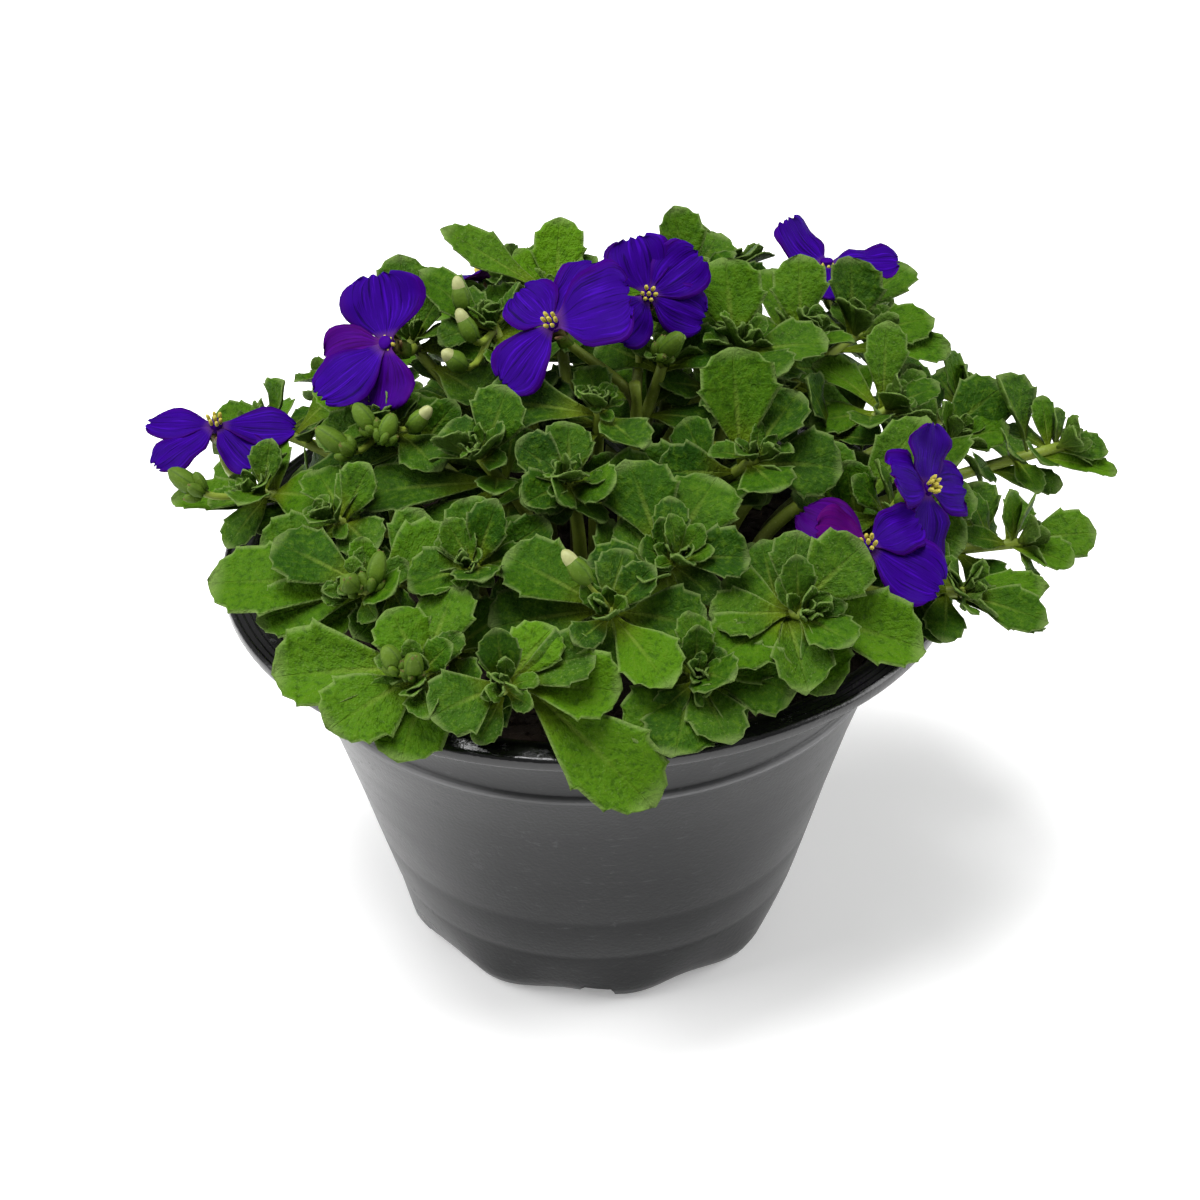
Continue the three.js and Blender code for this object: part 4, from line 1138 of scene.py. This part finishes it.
LEAF = leaf_finish()
STEM = stem_finish()
BUD = bud_finish()
PETAL = petal_finish()
ANTHER = anther_finish()
PALE = pale_tip_finish()
# The last colour of each pot finish is the painted sheen laid on its flanks
POT_BODY = pot_finish(
    "satin_dark_plastic", 0.28, (0.0034, 0.0037, 0.004), (0.0088, 0.0093, 0.01), 0.27, 0.38,
    (0.047, 0.047, 0.048),
)
POT_BRIM = pot_finish(
    "glossy_black_plastic", 0.5, (0.002, 0.002, 0.0023), (0.005, 0.005, 0.0055), 0.17, 0.3,
    (0.006, 0.006, 0.006),
)
SOIL = soil_finish()

# The shoots' pieces

# A shoot's finishes and their slots, and the slot of a piece with one finish
GREENERY = [LEAF, STEM, BUD]
LEAF_SLOT, STEM_SLOT, BUD_SLOT = range(3)
ONLY_SLOT = 0

# The box that filler leaves stay in, in millimetres
BOX_LOW = [c / MM - BOX_MARGIN for c in solid_box[0]]
BOX_HIGH = [c / MM + BOX_MARGIN for c in solid_box[1]]


def template_for(length):
    """The fine template that stands for a leaf of this length."""
    if length >= LARGE_FROM:
        return "large"
    return "small" if length < SMALL_BELOW else "middle"


def outward(across, turn):
    """The direction at a turn round an axis, from the two directions square to it."""
    first, second = across
    return first * math.cos(turn) + second * math.sin(turn)


def any_way(chance, most):
    """A small push in any direction."""
    return Vector([chance.uniform(-most, most) for _ in range(3)])


def lively(blade, chance):
    """The same blade with its own small cup and ripples."""
    return replace(
        blade,
        width=blade.width * chance.uniform(0.84, 0.98),
        twist=blade.twist + chance.uniform(-0.36, 0.36),
        cup=chance.uniform(-0.08, 0.45),
        fold=chance.uniform(0, 0.14),
        skew=chance.uniform(-0.16, 0.16),
        ripple=chance.uniform(0.25, 0.7) * min(1, blade.length / 18),
        waves=chance.uniform(2, 4),
        phase=chance.uniform(0, FULL_TURN),
    )


class Shoot:
    """One shoot while it grows: its tip, its stem, and the shape that takes all that it carries."""

    def __init__(self, number, heart):
        self.number = number
        self.heart = Vector(heart)
        self.axis = shoot_axis(self.heart)
        self.stem = stem_path(self.heart)
        self.node = f"leafy_shoot_{number + 1:02d}"
        # Painted shade: the middle shoots' leaves take only a share of tone, freshness and hairiness, so
        # a darker green
        self.green = PAINTED_SHADE_SHARE if number in SHADED_MIDDLE_SHOOTS else 1
        self.shape = Shape()
        self.shape.along("stem", self.stem, stem_radius, STEM_SLOT)

    def level(self, heading):
        """The pitch of a leaf that stands square to the shoot with this heading."""
        tilt = math.degrees(math.acos(self.axis.z))
        away = math.degrees(math.atan2(self.heart.y, self.heart.x))
        return -tilt * math.cos(math.radians(heading - away))

    def add_leaf(self, blade, spacing, tone, fresh, hairy):
        """Adds a toothed leaf that later ones keep clear of."""
        template = template_for(blade.length)
        self.shape.sheet(template, blade, LEAF_SLOT, tone, fresh, hairy, rim=LEAF_RIM)
        spacing.add(spots_on(blade))


def stem_radius(part):
    """How thick a stem is at a share of its length."""
    return 1.25 - 0.35 * part


def add_leaves(shoot, leaves, spacing):
    """The leaves that the solid has, as fine toothed blades."""
    points = solid_points(shoot.node)
    for k, leaf in enumerate(leaves):
        twist = LEAF_TWIST * (draw(shoot.number, k, 6) - 0.5)
        bend = bend_used(points, shoot, leaf, twist)
        if bend is None or (shoot.number, k) in HIDING_THE_FORK:
            continue
        chance = random.Random(SEED + 100 * shoot.number + k)
        blade = lively(leaf_blade(shoot, leaf, twist, bend), chance)
        if shoot.number in NARROW:
            blade = replace(blade, width=NARROW_SHARE * blade.width)
        # shoot.green is the painted-shade share, lower for the middle shoots
        tone = shoot.green * chance.uniform(0.15, 0.85)
        fresh = LIT.get((shoot.number, k), shoot.green * max(0, chance.gauss(0.32, 0.33)))
        hairy = shoot.green * chance.uniform(0, 0.6) * (1 - 0.6 * min(1, fresh))
        shoot.add_leaf(blade, spacing, tone, fresh, hairy)


def add_heart(shoot, spacing):
    """The jumble of young leaves at a shoot's tip: a few open ones round a small upright tuft."""
    chance = random.Random(SEED + 7 * shoot.number + 3)
    count = chance.randint(12, 17)
    start = chance.uniform(0, 360)
    axis, across = shoot.axis, across_from(shoot.axis)
    for i in range(count):
        inward = i / (count - 1)
        turn = math.radians(start + i * GOLDEN_ANGLE + chance.uniform(-50, 50))
        opened = math.radians(66 - 50 * inward + chance.uniform(-20, 20))
        out = outward(across, turn)
        along = (axis * math.cos(opened) + out * math.sin(opened)).normalized()
        share = HEART_SHARE.get(shoot.number, 1)
        length = share * (7.6 - 5 * inward) * chance.uniform(0.7, 1.25)
        blade = Blade(
            root=shoot.heart + axis * (1.8 * inward - 1.2) + out * (0.9 - 0.5 * inward),
            along=along,
            face=face_towards(axis + any_way(chance, 0.5), along),
            length=length,
            width=length * chance.uniform(0.48, 0.7),
            droop=chance.uniform(-25, 50) - 15 * inward,
            twist=chance.uniform(-0.5, 0.5),
            cup=chance.uniform(-0.05, 0.3),
            fold=chance.uniform(0.05, 0.4),
            skew=chance.uniform(-0.25, 0.25),
            ripple=chance.uniform(0.1, 0.35),
            phase=chance.uniform(0, FULL_TURN),
        )
        template = "small" if length > TOOTHED_ABOVE else "young"
        # shoot.green is the painted-shade share, lower for the middle shoots
        tone = shoot.green * chance.uniform(0.2, 0.9)
        fresh = max(0, chance.gauss(0.12, 0.15))
        hairy = shoot.green * (0.4 + 0.5 * inward)
        shoot.shape.sheet(template, blade, LEAF_SLOT, tone, fresh, hairy, rim=0.3)
        if length > KEPT_CLEAR_ABOVE:
            spacing.add(spots_on(blade))


def add_overhanging(shoot, spacing):
    """The listed leaves that the solid doesn't have."""
    chance = random.Random(SEED + 13 * shoot.number + 9)
    for leaf in OVERHANGING.get(shoot.number, ()):
        blade = lively(leaf_blade(shoot, full_leaf(leaf), 0), chance)
        shoot.add_leaf(blade, spacing, chance.uniform(0.2, 0.7), max(0, chance.gauss(0.15, 0.2)),
                       chance.uniform(0, 0.5))


def before_the_fork(spot):
    """Whether a point stands between the camera and the forked stalk."""
    seen_at = spot.z + SIGHT_SLOPE * spot.y
    (left, right), (low, high) = FORK_WIDTH, FORK_HEIGHT
    return left < spot.x < right and spot.y < FORK_FRONT and low < seen_at < high


def has_room(blade, spacing):
    """Whether a filler leaf stays in the solids' box, out of the soil and off the rim, leaves the
    forked stalk in sight, and keeps clear of what is already placed."""
    spots = spots_on(blade, 0.35)
    for spot in spots:
        radius = math.hypot(spot.x, spot.y)
        outside = not all(a < c < b for a, c, b in zip(BOX_LOW, spot, BOX_HIGH))
        on_the_rim = spot.z < POT_HEIGHT + 1 and radius > RIM_KEPT_CLEAR
        buried = spot.z < soil_height(radius) + SOIL_KEPT_CLEAR
        if outside or on_the_rim or buried or before_the_fork(spot):
            return False
    return min(map(spacing.nearest, spots)) >= FILLER_GAP


def add_fillers(shoot, spacing):
    """Further leaves wherever there is room round the stem, more of them where few were seen."""
    chance = random.Random(SEED + 11 * shoot.number + 5)
    if shoot.heart.y > BACK_FROM:
        wanted, deepest = BACK_FILLERS
    else:
        wanted, deepest = FEW_FILLERS if SHOOTS[shoot.number][2] else MANY_FILLERS
    start = chance.uniform(0, 360)
    added = 0
    for i in range(FILLER_TRIES * wanted):
        if added == wanted:
            return
        heading = start + i * GOLDEN_ANGLE
        below = chance.uniform(1.5, deepest)
        length = chance.uniform(8.5, 14.5)
        pitch = shoot.level(heading) + chance.uniform(0, 46)
        leaf = (heading, pitch, length, length * chance.uniform(0.6, 0.76), chance.uniform(4, 30), below)
        blade = lively(leaf_blade(shoot, leaf, chance.uniform(-0.12, 0.12)), chance)
        blade = replace(blade, face=face_towards(blade.face + any_way(chance, 0.7), blade.along))
        if has_room(blade, spacing):
            shoot.add_leaf(blade, spacing, chance.uniform(0.1, 0.7), max(0, chance.gauss(0.05, 0.12)),
                           chance.uniform(0, 0.4))
            added += 1


def head_path(stem, foot, axis, start):
    """The stalk that carries a flower or a bud, from the stem to its foot."""
    begin = stem.point(start)
    pull = 0.35 * (foot - begin).length
    return Path(begin, begin + stem.heading(start) * pull, foot - axis * pull, foot + axis * 0.8)


def add_calyx(shape, stem, start, centre, axis, number):
    """The stalk, the tube of sepals and their four tips behind a flower."""
    chance = random.Random(SEED + 31 * number)
    top = centre - axis * (THROAT_HEIGHT / 2 + STEM_GAP)
    foot = top - axis * CALYX_LENGTH
    stalk = head_path(stem, foot, axis, start)
    shape.along("stalk", stalk, lambda part: 0.9 - 0.15 * part, STEM_SLOT)
    shape.stood("calyx", foot, axis, CALYX_RADIUS, CALYX_LENGTH, BUD_SLOT, fresh=0.6, ribs=4, rib=0.12)
    across = across_from(axis)
    for i in range(SEPALS):
        out = outward(across, math.radians(45 + 90 * i + chance.uniform(-8, 8)))
        along = (axis * 0.93 + out * 0.36).normalized()
        blade = Blade(
            root=foot + axis * (0.45 * CALYX_LENGTH) + out * 0.9,
            along=along,
            face=face_towards(axis - out, along),
            length=0.72 * CALYX_LENGTH,
            width=1.7,
            cup=0.3,
            thickness=0.3,
        )
        shape.sheet("sepal", blade, BUD_SLOT, fresh=0.8)


def add_bud(shape, stem, centre, axis, length, pale, number):
    """A bud's stalk and its green body wrapped in four sepals, with younger buds round a closed one.
    A pale bud is shorter, because its tip is another piece."""
    chance = random.Random(SEED + 43 * number)
    foot = centre - axis * (length / 2)
    green = (1 - PALE_TIP) * length + 0.5 if pale else length
    shape.along("stalk", head_path(stem, foot, axis, BUD_STALK_FROM), lambda part: 0.6, STEM_SLOT)
    add_bud_body(shape, foot, axis, green, BUD_WIDTH / 2, chance)
    if pale:
        return
    across = across_from(axis)
    for i in range(YOUNG_BUDS):
        out = outward(across, FULL_TURN * (i + chance.uniform(-0.2, 0.2)) / YOUNG_BUDS)
        lean = (axis + out * chance.uniform(0.5, 0.9)).normalized()
        size = length * chance.uniform(0.38, 0.58)
        add_bud_body(shape, foot + out * 0.6 - axis * 0.6, lean, size, 0.24 * size + 0.2, chance)


def add_bud_body(shape, foot, axis, length, radius, chance):
    """A bud's ribbed body with its sepals closed over it."""
    tone = chance.uniform(0.3, 0.7)
    shape.stood("bud", foot, axis, radius, length, BUD_SLOT, tone, fresh=0.05, ribs=4, rib=0.1)
    across = across_from(axis)
    for i in range(SEPALS):
        out = outward(across, math.radians(45 + 90 * i + chance.uniform(-12, 12)))
        along = (axis + out * 0.16).normalized()
        blade = Blade(
            root=foot + out * (0.66 * radius),
            along=along,
            face=face_towards(out, along),
            length=length * chance.uniform(0.88, 1.06),
            width=1.5 * radius,
            droop=34,
            cup=-0.4,
            thickness=0.24,
        )
        shape.sheet("sepal", blade, BUD_SLOT, chance.uniform(0.3, 0.8), fresh=0.5)


def add_pale_tip(number, centre, axis, length):
    """Folded cream petals that push out of a bud."""
    foot = centre - axis * (length / 2)
    start = (1 - PALE_TIP) * length - 1.8
    shape = Shape()
    shape.stood("bud", foot + axis * start, axis, 0.72 * BUD_WIDTH / 2, length - start - 0.1,
                ONLY_SLOT, ribs=4, rib=0.09)
    add_piece(f"pale_bud_{number:02d}", shape.mesh, [PALE], [f"bud_tip_{number:02d}"])


def petal_blade(centre, normal, petal):
    """A petal as the solid has it."""
    angle, lift, length, width, droop = petal
    across = (Vector((1, 0, 0)) - normal * normal.x).normalized()
    rise = math.radians(lift)
    flat = outward((across, normal.cross(across)), math.radians(angle))
    along = flat * math.cos(rise) + normal * math.sin(rise)
    face = face_towards(normal, along)
    return Blade(centre, along, face, length, PETAL_FULLNESS * width, droop, PETAL_TWIST)


def add_petals(number, centre, normal, petals):
    """A flower's petals, rippled and pleated, and the throat that they leave."""
    shape = Shape()
    for k, petal in enumerate(petals):
        chance = random.Random(SEED + 57 * number + k)
        blade = petal_blade(centre, normal, petal)
        blade = replace(
            blade,
            width=FURLED.get(number, 1) * blade.width,
            cup=chance.uniform(-0.08, 0.12),
            ripple=chance.uniform(0.4, 0.8),
            waves=chance.uniform(2.4, 3.6),
            phase=chance.uniform(0, FULL_TURN),
            pleats=chance.uniform(0.14, 0.28),
            thickness=0.26,
        )
        turned = TURNED.get((number, k), 0)
        shape.sheet("petal", blade, ONLY_SLOT, chance.uniform(0.2, 0.8), rim=0.4, turned=turned)
    throat = centre - normal * (THROAT_HEIGHT / 2)
    shape.stood("calyx", throat, normal, 1.25, THROAT_HEIGHT, ONLY_SLOT)
    add_piece(f"flower_{number:02d}", shape.mesh, [PETAL], [f"petals_{number:02d}"])


def add_anthers(number, centre, normal):
    """A ring of anthers, leaning out a little, round a short stigma."""
    chance = random.Random(SEED + 71 * number)
    shape = Shape()
    across = across_from(normal)
    seat = centre + normal * (THROAT_HEIGHT / 2 - 0.2 - SUNK.get(number, 0))
    for i in range(ANTHERS):
        out = outward(across, FULL_TURN * (i + chance.uniform(-0.15, 0.15)) / ANTHERS)
        lean = (normal + out * chance.uniform(0.1, 0.35)).normalized()
        height = chance.uniform(1.4, 2.0)
        shape.stood("anther", seat + out * 0.85, lean, 0.38, height, ONLY_SLOT)
    shape.stood("anther", seat, normal, 0.4, 1.9, ONLY_SLOT)
    add_piece(f"stamens_{number:02d}", shape.mesh, [ANTHER], [f"anthers_{number:02d}"])


def grow_shoots(spacing):
    """Every shoot with its stem, its solid's leaves and its heart."""
    shoots = []
    for number, (heart, more, seen) in enumerate(SHOOTS):
        shoot = Shoot(number, heart)
        add_leaves(shoot, leaves_of(shoot, more, seen), spacing)
        add_heart(shoot, spacing)
        shoots.append(shoot)
    return shoots


def add_bare_stems(shoots):
    """The forked stalk and the bare stems beside it. Gives the path of the forked one."""
    paths = [Path(*points) for _, *points in BARE_STEMS]
    for (owner, *_), path in zip(BARE_STEMS, paths):
        shoots[owner].shape.along("stem", path, lambda part: 1.15 - 0.2 * part, STEM_SLOT, tone=0.8)
    return paths[0]


def add_blooms(shoots, fork, spacing):
    """Every bloom: its calyx on the shoot that holds it, its petals and its anthers."""
    for number, (owner, centre, faces, petals) in enumerate(BLOOMS, start=1):
        centre, normal = Vector(centre), direction(*faces)
        shoot = shoots[owner]
        stem, start = (fork, FORK_SHARE) if number in FORKED else (shoot.stem, BLOOM_STALK_FROM)
        add_calyx(shoot.shape, stem, start, centre, normal, number)
        add_petals(number, centre, normal, petals)
        add_anthers(number, centre, normal)
        for petal in petals:
            spacing.add(spots_on(petal_blade(centre, normal, petal), 0))


def add_buds(shoots, spacing):
    """Every bud on the shoot that holds it, and the pale tips as pieces of their own."""
    for number, (owner, centre, points, length, pale) in enumerate(BUDS + FURTHER_BUDS, start=1):
        centre, axis = Vector(centre), direction(*points)
        shoot = shoots[owner]
        add_bud(shoot.shape, shoot.stem, centre, axis, length, pale, number)
        spacing.add([centre])
        if pale:
            add_pale_tip(number, centre, axis, length)


def add_plant():
    """The flowers' and pale tips' pieces, then each shoot's, filled out where there is room."""
    spacing = Spacing()
    shoots = grow_shoots(spacing)
    fork = add_bare_stems(shoots)
    add_blooms(shoots, fork, spacing)
    add_buds(shoots, spacing)
    for shoot in shoots:
        add_overhanging(shoot, spacing)
        add_fillers(shoot, spacing)
        add_piece(f"shoot_{shoot.number + 1:02d}", shoot.shape.mesh, GREENERY, [shoot.node])


# The pot's and the soil's pieces

def add_pot():
    """The thin lobed shell, glossier on its brim and inside."""
    shell = spun(POT_PROFILE, POT_SIDES)
    for vert in shell.verts:
        turn = math.atan2(vert.co.y, vert.co.x)
        low = min(1, max(0, (LOBES_END - vert.co.z) / (LOBES_END - LOBES_FULL)))
        lobe = LOBE_DEPTH * low * low * math.cos(FOOT_LOBES * (turn + LOBE_TURN))
        vert.co.x *= 1 + lobe
        vert.co.y *= 1 + lobe
    foot_radius, foot_height = INSIDE_FOOT
    for face in shell.faces:
        middle = face.calc_center_median()
        cone = foot_radius + (middle.z - foot_height) * INSIDE_FLARE
        inside = middle.z > INSIDE_ABOVE and math.hypot(middle.x, middle.y) < cone
        face.material_index = 1 if middle.z > BRIM_FROM or inside else 0
        face.smooth = True
    pot = add_piece("nursery_pot", shell, [POT_BODY, POT_BRIM], ["pot"])
    drill_foot(pot)
    pot.data.set_sharp_from_angle(angle=SHARP_FROM)


def drill_foot(pot):
    """Cuts the ring of drain holes where the wall turns into the bottom."""
    cutters = bmesh.new()
    for i in range(DRAIN_HOLES):
        turn = FULL_TURN * (i + 0.5) / DRAIN_HOLES
        place = Matrix.Translation((DRAIN_CIRCLE * math.cos(turn), DRAIN_CIRCLE * math.sin(turn), 0))
        bmesh.ops.create_cone(
            cutters, cap_ends=True, segments=24, radius1=DRAIN_RADIUS, radius2=DRAIN_RADIUS, depth=6,
            matrix=place,
        )
    bmesh.ops.scale(cutters, vec=(MM, MM, MM), verts=cutters.verts)
    holes = bpy.data.objects.new("drain_holes", as_template("drain_holes", cutters))
    bpy.context.scene.collection.objects.link(holes)
    drilled = pot.modifiers.new("drain_holes", "BOOLEAN")
    drilled.operation, drilled.object, drilled.solver = "DIFFERENCE", holes, "EXACT"
    bpy.context.view_layer.update()
    shown = pot.evaluated_get(bpy.context.evaluated_depsgraph_get())
    finished = bpy.data.meshes.new_from_object(shown)
    pot.modifiers.clear()
    pot.data = finished
    bpy.data.objects.remove(holes)


def soil_lump(place):
    """How far the soil's lumps lift a point."""
    return noise.fractal(place * LUMP_SCALE, 1, 2, 4) * LUMP_HEIGHT


def add_soil():
    """A root ball with a lumpy top and loose crumbs."""
    top = [(radius, soil_height(radius)) for radius in range(SOIL_TOP_RADIUS, -1, -1)]
    mesh = spun([*SOIL_SIDE, *top], SOIL_SIDES)
    for vert in mesh.verts:
        if vert.co.z > LUMPY_FROM:
            vert.co.z += soil_lump(vert.co) + noise.noise(vert.co * GRIT_SCALE) * GRIT_HEIGHT
    chance = random.Random(SEED + 2)
    # Without its own seed, the noise that roughens the crumbs would differ from run to run
    noise.seed_set(SEED)
    for _ in range(CRUMBS):
        radius, turn = CRUMB_REACH * math.sqrt(chance.random()), chance.uniform(0, FULL_TURN)
        size = chance.uniform(0.35, 1.5)
        spot = Vector((radius * math.cos(turn), radius * math.sin(turn), soil_height(radius)))
        spot.z += soil_lump(spot)
        stretch = Matrix.Diagonal((chance.uniform(0.7, 1.6), chance.uniform(0.6, 1), 0.7, 1))
        turned = Matrix.Rotation(chance.uniform(0, FULL_TURN), 4, chance.choice("XYZ"))
        crumb = bmesh.ops.create_icosphere(
            mesh, subdivisions=1, radius=size, matrix=Matrix.Translation(spot) @ turned @ stretch
        )
        for vert in crumb["verts"]:
            vert.co += noise.noise_vector(vert.co * 1.7) * (0.35 * size)
    for face in mesh.faces:
        face.smooth = False
    add_piece("soil_ball", mesh, [SOIL], ["soil"])


# Floor, light and camera

def add_floor():
    """A wide pale floor for the pictures, which isn't one of the part's pieces."""
    shape = bmesh.new()
    bmesh.ops.create_grid(shape, x_segments=1, y_segments=1, size=6)
    finish = Finish("pale_floor", Roughness=0.6, Specular_IOR_Level=0.1, Emission_Strength=FLOOR_GLOW)
    faint = finish.group(MOTTLING, Scale=3.0, Strength=0.1)["Value"]
    finish.put(finish.mix(faint, (0.86, 0.86, 0.86), (0.9, 0.9, 0.9)), finish.surface["Base Color"])
    finish.put(finish.mix(faint, (0.97, 0.97, 0.97), (1, 1, 1)), finish.surface["Emission Color"])
    mesh = as_template("floor", shape)
    mesh.materials.append(finish.material)
    floor = bpy.data.objects.new("floor", mesh)
    floor.location.z = -FLOOR_DROP
    bpy.context.scene.collection.objects.link(floor)


def add_light(name, place, power, size):
    """A soft lamp that faces the plant."""
    lamp = bpy.data.lights.new(name, "AREA")
    lamp.energy, lamp.shape, lamp.size, lamp.size_y = power, "RECTANGLE", *size
    light = bpy.data.objects.new(name, lamp)
    light.location = place
    light.rotation_euler = (Vector(LIT_POINT) - light.location).to_track_quat("-Z", "Y").to_euler()
    bpy.context.scene.collection.objects.link(light)


def add_world():
    """Even white light from all round."""
    world = bpy.data.worlds.new("studio")
    world.use_nodes = True
    background = world.node_tree.nodes["Background"].inputs
    background["Color"].default_value = (1, 1, 1, 1)
    background["Strength"].default_value = WORLD_STRENGTH
    bpy.context.scene.world = world


def add_camera():
    """The photograph's view: down from the front, with a slight roll."""
    away = math.radians(CAMERA_ELEVATION)
    forward = Vector((0, math.cos(away), -math.sin(away)))
    right = Vector((1, 0, 0))
    upward = right.cross(forward)
    roll = math.radians(CAMERA_ROLL)
    across = right * math.cos(roll) + upward * math.sin(roll)
    upright = upward * math.cos(roll) - right * math.sin(roll)
    place = (LOOK_AT - forward * CAMERA_DISTANCE) * MM
    lens = bpy.data.cameras.new("camera")
    lens.lens, lens.sensor_width = CAMERA_LENS, CAMERA_SENSOR
    lens.clip_start, lens.clip_end = 0.01, 20
    camera = bpy.data.objects.new("camera", lens)
    turned = Matrix((across, upright, -forward)).transposed().to_4x4()
    camera.matrix_world = Matrix.Translation(place) @ turned
    bpy.context.scene.collection.objects.link(camera)
    bpy.context.scene.camera = camera


add_plant()
add_pot()
add_soil()
add_floor()
for softbox in SOFTBOXES:
    add_light(*softbox)
add_camera()
add_world()
bpy.context.scene.view_settings.view_transform = "Standard"
